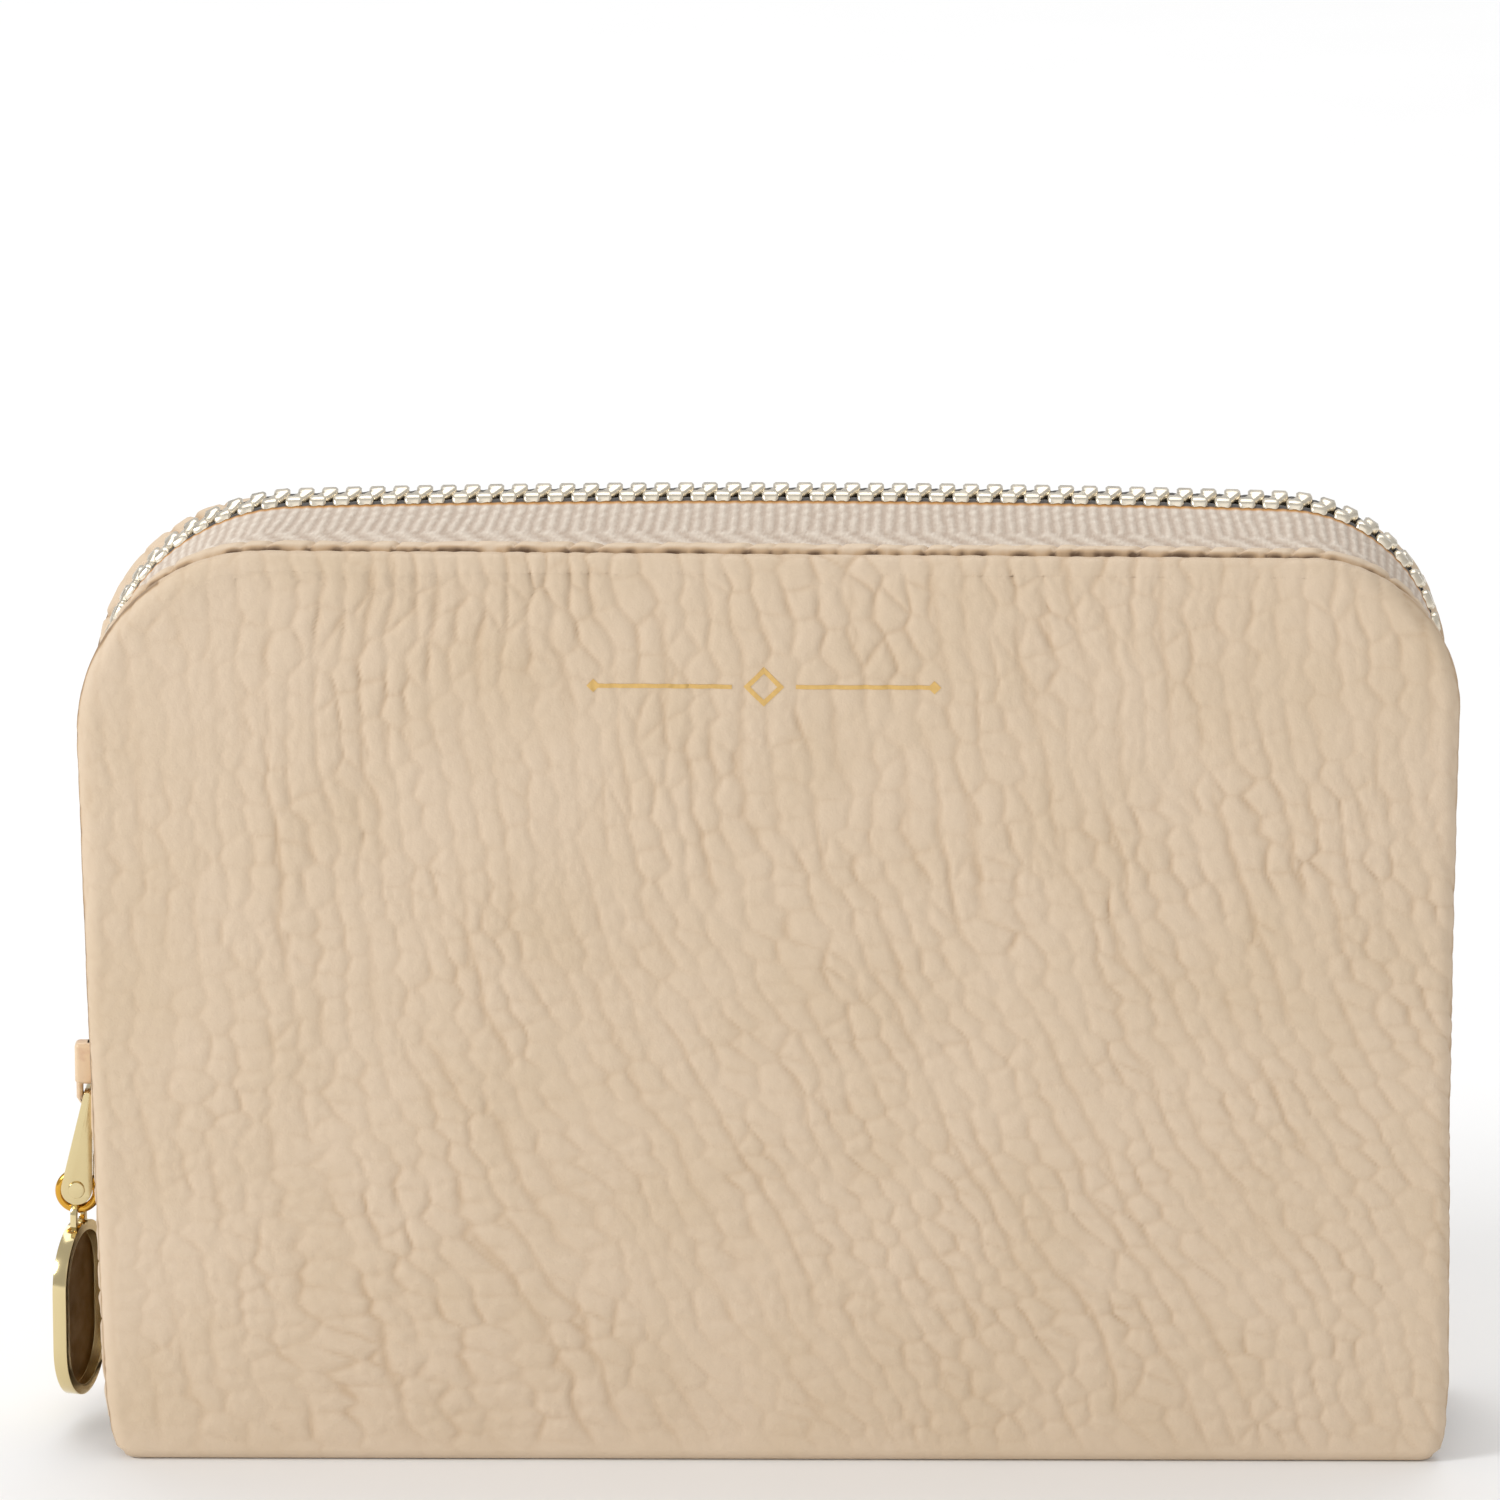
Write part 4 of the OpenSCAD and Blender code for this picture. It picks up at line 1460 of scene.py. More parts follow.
@dataclass
class ToothPattern:
    """A tooth's mesh as plain numbers, ready to be copied along a chain."""

    points: Array
    faces: list[list[int]]

    @classmethod
    def of(cls, tooth: bpy.types.Object) -> "ToothPattern":
        """Reads a modelled tooth, then takes it out of the scene.

        Args:
            tooth: The modelled tooth.

        Returns:
            Its points and faces.
        """
        points = np.array([v.co for v in tooth.data.vertices]) / MM
        faces = [list(p.vertices) for p in tooth.data.polygons]
        bpy.data.objects.remove(tooth, do_unlink=True)
        return cls(points, faces)

    def copies(self, name: str, places: Array, along: Array, across: Array, side: int,
               sizes: tuple[float, float, float] = (1.0, 1.0, 1.0)) -> bpy.types.Object:
        """Copies the tooth to places on a chain.

        Args:
            name: Name of the row of teeth.
            places: Centre of each tooth's gap on the chain's middle line.
            along: Direction of the chain at each tooth.
            across: Outward direction at each tooth.
            side: -1 for the front row and 1 for the back row.
            sizes: Scale along, towards and across the chain.

        Returns:
            The row of teeth as one piece.
        """
        local = self.points * np.array(sizes)
        x, y, z = local.T
        # The back row is the same casting turned half round, so its head leans along with the front row's.
        x, y = (x, y) if side < 0 else (-x, -y)
        points = (
            places[:, None, :] + along[:, None, :] * x[None, :, None] + across[:, None, :] * z[None, :, None]
        )
        points[:, :, 1] += y[None, :]
        count = len(self.points)
        faces = [[v + k * count for v in f] for k in range(len(places)) for f in self.faces]
        piece = new_mesh(name, points.reshape(-1, 3), faces)
        return smooth(face_out(piece, 1e-8), 50)


def low_lean(points: Array) -> Array:
    """How far the lower ends of strip and tape move in, where the cover's sides lean in towards the spine.

    Args:
        points: Points of the strip or tape.

    Returns:
        The move along x at each point.
    """
    outline = CoverOutline()
    x, z = points[..., 0], points[..., 2]
    left = np.interp(z, *zip(*outline.left_lean)) - 1.0
    right = np.interp(z, *zip(*outline.right_lean)) - 0.4
    return np.where(x < -50, np.clip(left, 0, None), np.where(x > 50, -np.clip(right, 0, None), 0))


@dataclass
class ZipSide:
    """Everything sewn to the edge of one cover: facing strip, woven tape and its row of teeth."""

    half: Half
    finishes: Finishes
    tooth: ToothPattern
    pitch: float = 2.25
    back_shift: float = 1.02
    tape_spacing: float = 0.26
    strip_spacing: float = 0.32
    parting_height: float = 67.0

    def build(self) -> None:
        """Makes the strip, the tape and the teeth."""
        strip = self._strip()
        teeth = self._teeth()
        tape = self._tape()
        for piece in (strip, tape, *teeth):
            log.info("%s: %d faces", piece.name, len(piece.data.polygons))

    def _loft(self, name: str, grid: Array, uv: Array) -> bpy.types.Object:
        """Closes a grid of profile points by stations into a solid strip.

        Args:
            name: The piece's name.
            grid: Points by profile place, then by station.
            uv: Lengths across and along for each point.

        Returns:
            The piece, with its lengths stored.
        """
        across, stations = grid.shape[:2]
        faces = [
            [
                i * stations + j,
                i * stations + j + 1,
                (i + 1) % across * stations + j + 1,
                (i + 1) % across * stations + j,
            ]
            for i in range(across)
            for j in range(stations - 1)
        ]
        faces.append([i * stations for i in range(across)])
        faces.append([i * stations + stations - 1 for i in reversed(range(across))])
        piece = new_mesh(name, grid.reshape(-1, 3), faces)
        store_uv(piece, uv.reshape(-1, 2))
        return piece

    def _strip(self) -> bpy.types.Object:
        """The narrow leather strip that faces the cover's edge, gathered into slanting creases.

        Returns:
            The strip.
        """
        points, normals, s = STRIP_ROUTE.stations(STRIP_ROUTE.even_steps(self.strip_spacing))
        outer = [(-0.75, -10.65), (-0.42, -10.52), (-0.12, -10.46), (0.15, -10.36), (0.42, -10.2), (0.66, -9.96),
                 (0.84, -9.6), (0.93, -9.15), (0.92, -8.7), (0.8, -8.25), (0.6, -7.9), (0.32, -7.62), (0.0, -7.46),
                 (-0.42, -7.38)]
        profile = outer + [(-0.68, -7.5), (-0.78, -7.9), (-0.8, -9.2), (-0.8, -10.5)]
        grid = np.zeros((len(profile), len(s), 3))
        uv = np.zeros((len(profile), len(s), 2))
        noise = SmoothNoise(77 + self.half.value)
        crease = np.zeros((len(profile), len(s)))
        for i, (lift, y) in enumerate(profile):
            out = np.full(len(s), lift)
            phase = s / 2.9 + 0.45 * noise.rough(s / 6, s * 0 + 1, 2) - 0.16 * (y + 9)
            gap = np.abs(phase - np.round(phase)) * 2.9
            deep = np.clip(0.6 + 0.6 * noise.at(np.round(phase) * 1.7, s * 0 + 5), 0.1, 1)
            groove = deep * np.exp(-((gap / 0.3) ** 2))
            if i < len(outer):
                out = out - 0.4 * groove + 0.08 * noise.rough(s / 1.7, s * 0 + y, 2) + 0.07 * noise.at(s / 9, s * 0 + 3)
                # The colour darkens in the gathered creases as painted shade, and along the lower edge, broken into
                # dashes, as painted shadow in the gap at the seam.
                edge = 1.0 if y < -10.15 else 0.6 if y < -9.95 else 0.2 if y < -9.7 else 0.0
                dash = 0.5 + 0.5 * noise.rough(s / 1.1, s * 0 + 12, 2)
                crease[i] = np.clip(0.9 * groove + edge * (0.5 + 2.0 * dash + 1.4 * groove), 0, 2.2)
            place = points + normals * out[:, None]
            grid[i] = np.stack([place[:, 0], np.full(len(s), -self.half.value * y), place[:, 1]], -1)
            uv[i] = np.stack([s, np.full(len(s), y)], -1)
        grid[..., 2] -= top_fall(grid)
        grid[..., 0] += low_lean(grid)
        piece = self._loft(f"{self.half.prefix}_leather_strip", grid, uv)
        store_value(piece, "crease", crease.ravel())
        face_out(piece)
        smooth(piece, 60)
        dress(piece, self.finishes.leather)
        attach(piece, self.half.body)
        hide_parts(f"{self.half.prefix}_facing_strip")
        return piece

    def _tape(self) -> bpy.types.Object:
        """The woven tape, from inside the strip up to the teeth, with its ribs and herringbone raised.

        Returns:
            The tape.
        """
        steps = TAPE_ROUTE.even_steps(self.tape_spacing)
        chain, chain_out, s = TAPE_ROUTE.stations(steps)
        edge, edge_out, _ = STRIP_ROUTE.stations(steps)
        seam = edge - edge_out * 1.1
        rows = 36
        y = np.linspace(-10.2, -1.25, rows)
        mix = np.interp(y, [-10.2, -7.9, -6.9, -5.6, -4.2, -3.2, -2.4, -1.2], [0, 0, 0.05, 0.3, 0.68, 0.92, 1, 1])
        rise = 0.15 * smooth_step(-4.0, -2.6, y)[:, None, None] * chain_out[None]
        place = seam[None] * (1 - mix[:, None, None]) + chain[None] * mix[:, None, None] + rise
        middle = np.stack([place[..., 0], np.broadcast_to(y[:, None], place.shape[:2]), place[..., 1]], -1)
        middle[..., 2] -= (1 - mix[:, None]) * top_fall(middle)
        over = np.gradient(middle, axis=0)
        along = np.gradient(middle, axis=1)
        normal = np.cross(over, along)
        normal /= np.linalg.norm(normal, axis=-1, keepdims=True)
        outward = np.stack([chain_out[:, 0], np.zeros(len(s)), chain_out[:, 1]], -1)[None]
        normal *= np.sign((normal * outward).sum(-1, keepdims=True) + 1e-9)
        w = np.concatenate([[0], np.cumsum(np.hypot(np.diff(y), 3.85 * np.diff(mix)))])
        width = w[-1]
        ss, ww = np.meshgrid(s, w)
        relief, shade = self._weave(ss, ww - 4.55)
        rolled = 1 - smooth_step(width - 0.35, width, ww)
        outer = middle + normal * (0.22 * rolled + relief * 0.5)[..., None]
        inner = (middle - normal * 0.22)[::-6]
        grid = np.concatenate([outer, inner])
        grid[..., 0] += low_lean(grid)
        grid[..., 1] *= -self.half.value
        uv = np.stack([ss, ww], -1)
        uv = np.concatenate([uv, uv[::-6]])
        piece = self._loft(f"{self.half.prefix}_woven_tape", grid, uv)
        dark = np.concatenate([shade, shade[::-6] * 0 + 0.5])
        # Under the chain a gold line is painted on the tape as the teeth's reflection and, beyond it, the cord that the
        # jaws grip is painted near-black as their shade.
        at, far = np.concatenate([ss, ss[::-6]]), np.concatenate([ww, ww[::-6]])
        chained = smooth_step(29.2, 29.8, at) * (1 - smooth_step(s[-1] - 12.8, s[-1] - 12.2, at))
        # The yarn height drives the bump and the painted highlight and shade of the yarns.
        store_value(piece, "yarn_relief_and_painted_shade", dark.ravel())
        store_value(piece, "gilt", (smooth_step(width - 1.72, width - 1.66, far) * chained).ravel())
        store_value(piece, "cord", (smooth_step(width - 1.42, width - 1.3, far) * chained).ravel())
        face_out(piece)
        smooth(piece, 70)
        dress(piece, self.finishes.tape)
        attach(piece, self.half.body)
        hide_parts(f"{self.half.prefix}_zip_tape")
        return piece

    @staticmethod
    def _weave(s: Array, w: Array) -> tuple[Array, Array]:
        """The raised pattern of the tape.

        Args:
            s: Lengths along the tape.
            w: Lengths across it from the strip's edge towards the teeth.

        Returns:
            The relief in millimetres, and how high each point is on its yarn, from 0 to 1.
        """
        noise = SmoothNoise(9)
        wobble = 0.16 * noise.rough(s / 2.2, w / 1.5, 2)
        columns = 0.5 + 0.5 * np.cos(2 * math.pi * (s + wobble) / 1.12)
        picks = 0.5 + 0.5 * np.cos(2 * math.pi * (w / 0.82 + 0.5 * np.round((s + wobble) / 1.12)))
        ground = columns * (0.45 + 0.55 * picks)
        ribs = 0.5 + 0.5 * np.cos(2 * math.pi * (s + wobble + 1.9 * w) / 2.7)
        beads = 0.5 + 0.5 * np.cos(2 * math.pi * (s - 1.2 * w) / 0.6)
        band = np.clip(ribs**0.8, 0, 1) * (0.72 + 0.28 * beads)
        in_band = 1 - smooth_step(1.1, 1.45, w)
        level = ground * (1 - in_band) + band * in_band
        relief = 0.17 * level + 0.12 * band * in_band - 0.05
        return relief, np.clip(level + 0.12 * noise.rough(s / 0.5, w / 0.5, 2), 0, 1)

    def _teeth(self) -> list[bpy.types.Object]:
        """The row of teeth, in two pieces where the slider parts it from the other row.

        Returns:
            The parting teeth and the closed teeth.
        """
        total = sum(length for length, _ in CHAIN_ROUTE.runs())
        first = 0.0 if self.half is Half.FRONT else self.back_shift
        places = np.arange(first, total + 1e-6, self.pitch)
        spots, out = CHAIN_ROUTE.at(places)
        across = np.stack([out[:, 0], np.zeros(len(out)), out[:, 1]], -1)
        along = np.stack([out[:, 1], np.zeros(len(out)), -out[:, 0]], -1)
        centres = np.stack([spots[:, 0], np.zeros(len(out)), spots[:, 1]], -1)
        parting = places < self.parting_height - CHAIN_ROUTE.low_left
        pieces = []
        for name, mask in (("parting", parting), ("closed", ~parting)):
            piece = self.tooth.copies(
                f"{self.half.prefix}_{name}_teeth", centres[mask], along[mask], across[mask], self.half.value
            )
            dress(piece, self.finishes.teeth)
            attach(piece, self.half.body)
            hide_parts(f"{self.half.prefix}_zip_teeth")
            if name == "parting":
                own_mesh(piece)
            pieces.append(piece)
        return pieces


# -------- hardware


@dataclass
class Casting:
    """A metal part that keeps the shape of its solid, with edges rounded as tumbling rounds them."""

    node: str
    name: str
    body: str
    width: float
    material: bpy.types.Material
    slot: str = "slider_metal"

    def build(self, frame: dict) -> bpy.types.Object:
        """Rounds the part, dresses it and puts it on its body.


        Returns:
            The casting.
        """
        piece = rounded_copy(frame, self.node, self.name, self.width)
        dress(piece, self.material)
        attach(piece, self.body)
        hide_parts(self.node)
        log.info("%s: %d faces", piece.name, len(piece.data.polygons))
        return piece


@dataclass
class SliderSet:
    """The slider of the main zip, its puller, the ring and the oval charm."""

    finishes: Finishes
    frame: dict
    charm_turn: float = 12.0
    extra_turn: float = 4.0
    charm_slim: float = 0.68

    def build(self) -> None:
        """Makes each part of the set."""
        gold, enamel = self.finishes.cast, self.finishes.enamel
        for part in (
            Casting("slider_outer_plate", "slider_outer_shell", "slider", 0.16, enamel),
            Casting("slider_inner_plate", "slider_inner_shell", "slider", 0.16, enamel),
            Casting("slider_post", "slider_wedge", "slider", 0.08, enamel),
            Casting("puller", "teardrop_puller", "zip_puller", 0.2, gold),
            Casting("puller_rivet", "puller_pin", "zip_puller", 0.07, gold),
            Casting("jump_ring", "round_ring", "ring", 0.05, self.finishes.amber),
            Casting("front_top_stop", "front_end_clamp", "front_cover", 0.15, gold, "zip_metal"),
            Casting("back_top_stop", "back_end_clamp", "back_cover", 0.15, gold, "zip_metal"),
            Casting("bottom_stop", "far_end_clamp", "back_cover", 0.15, gold, "zip_metal"),
        ):
            part.build(self.frame)
        self._arch()
        self._charm()

    def _arch(self) -> bpy.types.Object:
        """The slider's arch: a stout rounded lug, with the loop for the puller's bar at its lower end.

        Returns:
            The arch.
        """
        low, high = (np.array(corner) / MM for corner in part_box("slider_bridge"))
        loop = rounded_copy(self.frame, "slider_bridge", "slider_loop", 0.3)
        bpy.ops.object.select_all(action="DESELECT")
        foot = low[2] + 2.15
        middle = np.array([(low[0] - 64.75) / 2, 0.0, (foot + high[2]) / 2])
        bpy.ops.mesh.primitive_cube_add(size=1.0, location=tuple(middle * MM))
        lug = bpy.context.object
        lug.scale = tuple(np.array([-64.75 - low[0], 2 * high[1] + 0.2, high[2] - foot]) * MM)
        place_in_mesh(lug)
        bpy.ops.object.mode_set(mode="EDIT")
        bpy.ops.mesh.select_all(action="DESELECT")
        bpy.ops.mesh.select_mode(type="FACE")
        mesh = bmesh.from_edit_mesh(lug.data)
        for face in mesh.faces:
            face.select = face.normal.x < -0.9
        bmesh.update_edit_mesh(lug.data)
        bpy.ops.mesh.inset(thickness=0.35 * MM, depth=0.0)
        bpy.ops.transform.translate(value=(-0.12 * MM, 0, 0))
        bpy.ops.object.mode_set(mode="OBJECT")
        finish_with(lug, "BEVEL", width=0.6 * MM, segments=5, limit_method="ANGLE", angle_limit=math.radians(40))
        arch = smooth(join("slider_arch", [lug, loop]), 50)
        dress(arch, self.finishes.enamel)
        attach(arch, "slider")
        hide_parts("slider_bridge")
        log.info("%s: %d faces", arch.name, len(arch.data.polygons))
        return arch

    def _slim(self, charm: bpy.types.Object) -> None:
        """Presses the charm thinner through its face and turns its hollow a little more to the front.

        Args:
            charm: The charm.
        """
        low, high = (Vector(corner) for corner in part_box("charm"))
        middle = (low + high) / 2
        settle = Matrix.Rotation(math.radians(-self.charm_turn - self.extra_turn), 4, "Z")
        press = Matrix.Diagonal((self.charm_slim, 1.0, 1.0, 1.0))
        straighten = Matrix.Rotation(math.radians(self.charm_turn), 4, "Z")
        charm.data.transform(Matrix.Translation(middle) @ settle @ press @ straighten @ Matrix.Translation(-middle))

    def _charm(self) -> bpy.types.Object:
        """The oval charm: a thick polished rim round a hollow that faces the wallet, its inside coloured dark bronze as
        painted shade.

        Returns:
            The charm.
        """
        piece = rounded_copy(self.frame, "charm", "hollow_oval_charm", 0.34, 4)
        self._slim(piece)
        dress(piece, self.finishes.cast)
        piece.data.materials.append(self.finishes.hollow)
        turn = math.radians(self.charm_turn + self.extra_turn)
        inward = Vector((math.cos(turn), -math.sin(turn), 0))
        low, high = (Vector(corner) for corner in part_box("charm"))
        middle = (low + high) / 2
        # Inward faces of the hollow take the dark bronze, which paints the shade inside it.
        flat = [p for p in piece.data.polygons if p.normal.dot(inward) > 0.9]
        for face in flat:
            depth = (face.center - middle).dot(inward)
            if depth < 0.2 * MM and face.center.z < middle.z + 8.4 * MM:
                face.material_index = 1
        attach(piece, "hanging_charm")
        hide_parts("charm")
        return piece


@dataclass
class FoilMark:
    """Small ornament in gold foil: a hollow lozenge between two rules that end in small lozenges."""

    finishes: Finishes
    cover: PaddedCover
    centre: tuple[float, float] = (-0.4, 76.7)
    step: float = 0.2
    raised: float = 0.045

    def build(self) -> bpy.types.Object:
        """Presses the ornament on the finished leather.

        Returns:
            The ornament.
        """
        patches = [self._bar(-16.2, -3.0), self._bar(3.0, 16.2)]
        patches += [self._lozenge(x, 0.0, 0.64) for x in (-16.0, 16.0)]
        patches += self._frame(1.91, 1.27)
        points, faces = [], []
        for grid in patches:
            rows, columns = grid.shape[:2]
            start = len(points)
            flat = grid.reshape(-1, 2) + np.array(self.centre)
            points += self._raise(flat).tolist()
            faces += grid_faces(rows, columns, start)
        piece = new_mesh("gold_foil_ornament", np.array(points), faces)
        self._face_front(piece)
        dress(piece, self.finishes.foil)
        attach(piece, "front_cover")
        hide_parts("foil_mark")
        log.info("%s: %d faces", piece.name, len(piece.data.polygons))
        return piece

    def _raise(self, flat: Array) -> Array:
        """Puts flat places on the leather, a little proud of it.

        Args:
            flat: Places as x and z.

        Returns:
            Their points on the leather.
        """
        spots = self.cover.surface(flat[:, 0], flat[:, 1])
        spots[:, 1] -= self.raised
        return spots

    def _face_front(self, piece: bpy.types.Object) -> None:
        """Gives the foil its thickness, back into the leather.

        Args:
            piece: The foil.
        """
        if sum(p.normal.y for p in piece.data.polygons) > 0:
            piece.data.flip_normals()
        finish_with(piece, "SOLIDIFY", thickness=0.12 * MM, offset=-1.0)
        smooth(piece, 40)

    def _bar(self, start: float, end: float) -> Array:
        """A rule of even height.

        Args:
            start: Its left end.
            end: Its right end.

        Returns:
            Grid of places.
        """
        x = np.arange(start, end + 1e-6, self.step)
        z = np.linspace(-0.2, 0.2, 4)
        return np.stack(np.meshgrid(x, z), -1)

    def _lozenge(self, x: float, z: float, reach: float) -> Array:
        """A filled lozenge as a square grid turned by an eighth.

        Args:
            x: Its centre across the cover.
            z: Its centre's height.
            reach: Half its width.

        Returns:
            Grid of places.
        """
        t = np.linspace(-0.5, 0.5, 6)
        a, b = np.meshgrid(t, t)
        return np.stack([x + (a - b) * reach, z + (a + b) * reach], -1)

    def _frame(self, outer: float, inner: float) -> list[Array]:
        """The four sides of the hollow lozenge.

        Args:
            outer: Reach of its outer corners.
            inner: Reach of its inner corners.

        Returns:
            A grid of places for each side.
        """
        corners = [(0, 1), (1, 0), (0, -1), (-1, 0), (0, 1)]
        sides = []
        for (ax, az), (bx, bz) in zip(corners, corners[1:]):
            t = np.linspace(0, 1, 12)[None, :, None]
            r = np.linspace(inner, outer, 4)[:, None, None]
            edge = np.array([[[ax, az]]]) * (1 - t) + np.array([[[bx, bz]]]) * t
            sides.append(edge * r)
        return sides


# -------- interior


@dataclass
class ClothPanel:
    """A flat panel inside the wallet: a thin sheet with rolled edges and a slight ripple."""

    name: str
    node: str
    body: str
    half_width: float
    low: float
    high: float
    near: float
    far: float
    material: bpy.types.Material
    slot: str
    held: str = "stretched"
    rests_on: tuple[str, ...] = ()
    left_radius: float = 1.0
    right_radius: float = 1.0
    ripple: float = 0.05
    spacing: float = 1.5
    seed: int = 5

    def build(self) -> bpy.types.Object:
        """Returns:
            The panel.
        """
        grid = self._outline_grid()
        rows, columns = grid.shape[:2]
        x, z = grid[..., 0], grid[..., 1]
        noise = SmoothNoise(self.seed)
        from_sides = np.minimum(x + self.half_width, self.half_width - x)
        inside = np.minimum(from_sides, np.minimum(z - self.low, self.high - z))
        lift = self.ripple * noise.rough(x / 17, z / 13, 3) * smooth_step(0, 6, inside)
        thick = abs(self.far - self.near)
        middle = (self.near + self.far) / 2
        way = 1.0 if self.far > self.near else -1.0
        front = np.stack([x, self.near + lift, z], -1)
        back = np.stack([x, self.far + lift, z], -1)
        border = [*range(columns), *[r * columns + columns - 1 for r in range(1, rows)],
                  *[(rows - 1) * columns + c for c in range(columns - 2, -1, -1)],
                  *[r * columns for r in range(rows - 2, 0, -1)]]
        rim = grid.reshape(-1, 2)[border]
        ahead, behind = np.roll(rim, -1, 0), np.roll(rim, 1, 0)
        way_out = np.stack([(ahead - behind)[:, 1], -(ahead - behind)[:, 0]], -1)
        way_out /= np.maximum(np.linalg.norm(way_out, axis=-1, keepdims=True), 1e-9)
        loops = []
        for turn in (0.28, 0.5, 0.72):
            angle = math.pi * turn
            reach = thick * 0.5 * math.sin(angle)
            depth = middle - way * thick * 0.5 * math.cos(angle)
            loops.append(np.stack([rim[:, 0] + way_out[:, 0] * reach, np.full(len(rim), depth),
                                   rim[:, 1] + way_out[:, 1] * reach], -1))
        points = np.concatenate([front.reshape(-1, 3), back.reshape(-1, 3), *loops])
        size = rows * columns
        faces = grid_faces(rows, columns) + [f[::-1] for f in grid_faces(rows, columns, size)]
        count = len(border)
        between = [[2 * size + k * count + i for i in range(count)] for k in range(3)]
        rings = [border, *between, [b + size for b in border]]
        for one, two in zip(rings, rings[1:]):
            faces += [[one[i], one[(i + 1) % count], two[(i + 1) % count], two[i]] for i in range(count)]
        piece = new_mesh(self.name, points, faces)
        face_out(piece)
        smooth(piece, 50)
        dress(piece, self.material)
        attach(piece, self.body)
        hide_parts(self.node)
        log.info("%s: %d faces", piece.name, len(piece.data.polygons))
        return piece

    def _outline_grid(self) -> Array:
        """Grid of places over the panel, with rounded upper corners.

        Returns:
            The places, as x and z.
        """
        radius = max(self.left_radius, self.right_radius)
        rows = max(int((self.high - radius - self.low) / self.spacing), 2)
        straight = np.linspace(self.low, self.high - radius, rows)
        turns = np.linspace(0, math.pi / 2, max(int(radius * 1.5 / self.spacing) + 2, 4))[1:]
        z = np.concatenate([straight, self.high - radius + radius * np.sin(turns)])
        sides = []
        for sign, corner in ((-1, self.left_radius), (1, self.right_radius)):
            rise = np.clip((z - (self.high - corner)) / corner, 0, 1)
            sides.append(sign * (self.half_width - corner + corner * np.sqrt(np.maximum(1 - rise**2, 0))))
        t = np.linspace(0, 1, int(2 * self.half_width / self.spacing))[None, :]
        x = sides[0][:, None] * (1 - t) + sides[1][:, None] * t
        return np.stack([x, np.broadcast_to(z[:, None], x.shape)], -1)


@dataclass
class Stitching:
    """A line of thread: one stitch, modelled once, repeated at a set spacing."""

    name: str
    body: str
    material: bpy.types.Material
    slot: str
    length: float = 2.1
    pitch: float = 3.0
    radius: float = 0.17

    def build(self, lines: Sequence[tuple[Array, Array]]) -> bpy.types.Object:
        """Sews along straight lines.

        Args:
            lines: Start and end of each line, in millimetres.

        Returns:
            All the stitches as one piece.
        """
        points, faces = self._stitch()
        spots, turned = [], []
        for start, end in lines:
            start, end = np.array(start, float), np.array(end, float)
            reach = np.linalg.norm(end - start)
            way = (end - start) / reach
            side = np.cross(way, [0.0, 1.0, 0.0])
            for d in np.arange(self.pitch / 2, reach, self.pitch):
                spots.append(start + way * d)
                turned.append(np.stack([way, np.array([0.0, 1.0, 0.0]), side]))
        all_points = np.concatenate([spot + points @ frame for spot, frame in zip(spots, turned)])
        all_faces = [[v + k * len(points) for v in f] for k in range(len(spots)) for f in faces]
        piece = new_mesh(self.name, all_points, all_faces)
        face_out(piece, 1e-9)
        smooth(piece, 60)
        dress(piece, self.material)
        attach(piece, self.body)
        return piece

    def _stitch(self) -> tuple[Array, list[list[int]]]:
        """Models one stitch from a sphere, drawn out along its thread.

        Returns:
            Its points and faces.
        """
        bpy.ops.object.select_all(action="DESELECT")
        bpy.ops.mesh.primitive_uv_sphere_add(segments=6, ring_count=5, radius=1.0)
        stitch = bpy.context.object
        points = np.array([v.co for v in stitch.data.vertices])[:, [2, 1, 0]]
        faces = [list(p.vertices) for p in stitch.data.polygons]
        bpy.data.objects.remove(stitch, do_unlink=True)
        return points * np.array([self.length / 2, self.radius, self.radius]), faces


@dataclass
class Gusset:
    """Folded side wall between the spine's pocket and a cover."""

    half: Half
    side: Side
    finishes: Finishes
    low: float = 5.0
    high: float = 62.0

    def build(self) -> bpy.types.Object:
        """Returns:
            The side wall.
        """
        path = np.array([(-59.4, -10.0), (-57.0, -9.15), (-52.0, -7.3), (-50.1, -6.75), (-49.75, -6.5), (-50.2, -6.25),
                         (-51.5, -5.5), (-54.5, -3.8), (-56.0, -3.0)])
        knots = np.linspace(0, 1, len(path))
        t = np.linspace(0, 1, 25)
        x, y = np.interp(t, knots, path[:, 0]), np.interp(t, knots, path[:, 1])
        z = np.linspace(self.low, self.high, 24)
        noise = SmoothNoise(31)
        xx, zz = np.meshgrid(x, z)
        yy = np.broadcast_to(y[None, :], xx.shape)
        give = np.sin(math.pi * t)[None, :]
        xx = xx + 0.35 * give * noise.rough(zz / 9, yy / 6, 2)
        grid = np.stack([xx * -self.side.value, yy * -self.half.value, zz], -1)
        name = f"{self.half.prefix}_{self.side.word}_side_wall"
        piece = new_mesh(name, grid.reshape(-1, 3), grid_faces(*grid.shape[:2]))
        finish_with(piece, "SUBSURF", levels=1, render_levels=1)
        finish_with(piece, "SOLIDIFY", thickness=0.38 * MM, offset=0.0)
        face_out(piece)
        smooth(piece, 60)
        dress(piece, self.finishes.lining)
        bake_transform(piece)
        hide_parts(f"{self.half.prefix}_{self.side.word}_gusset")
        return piece


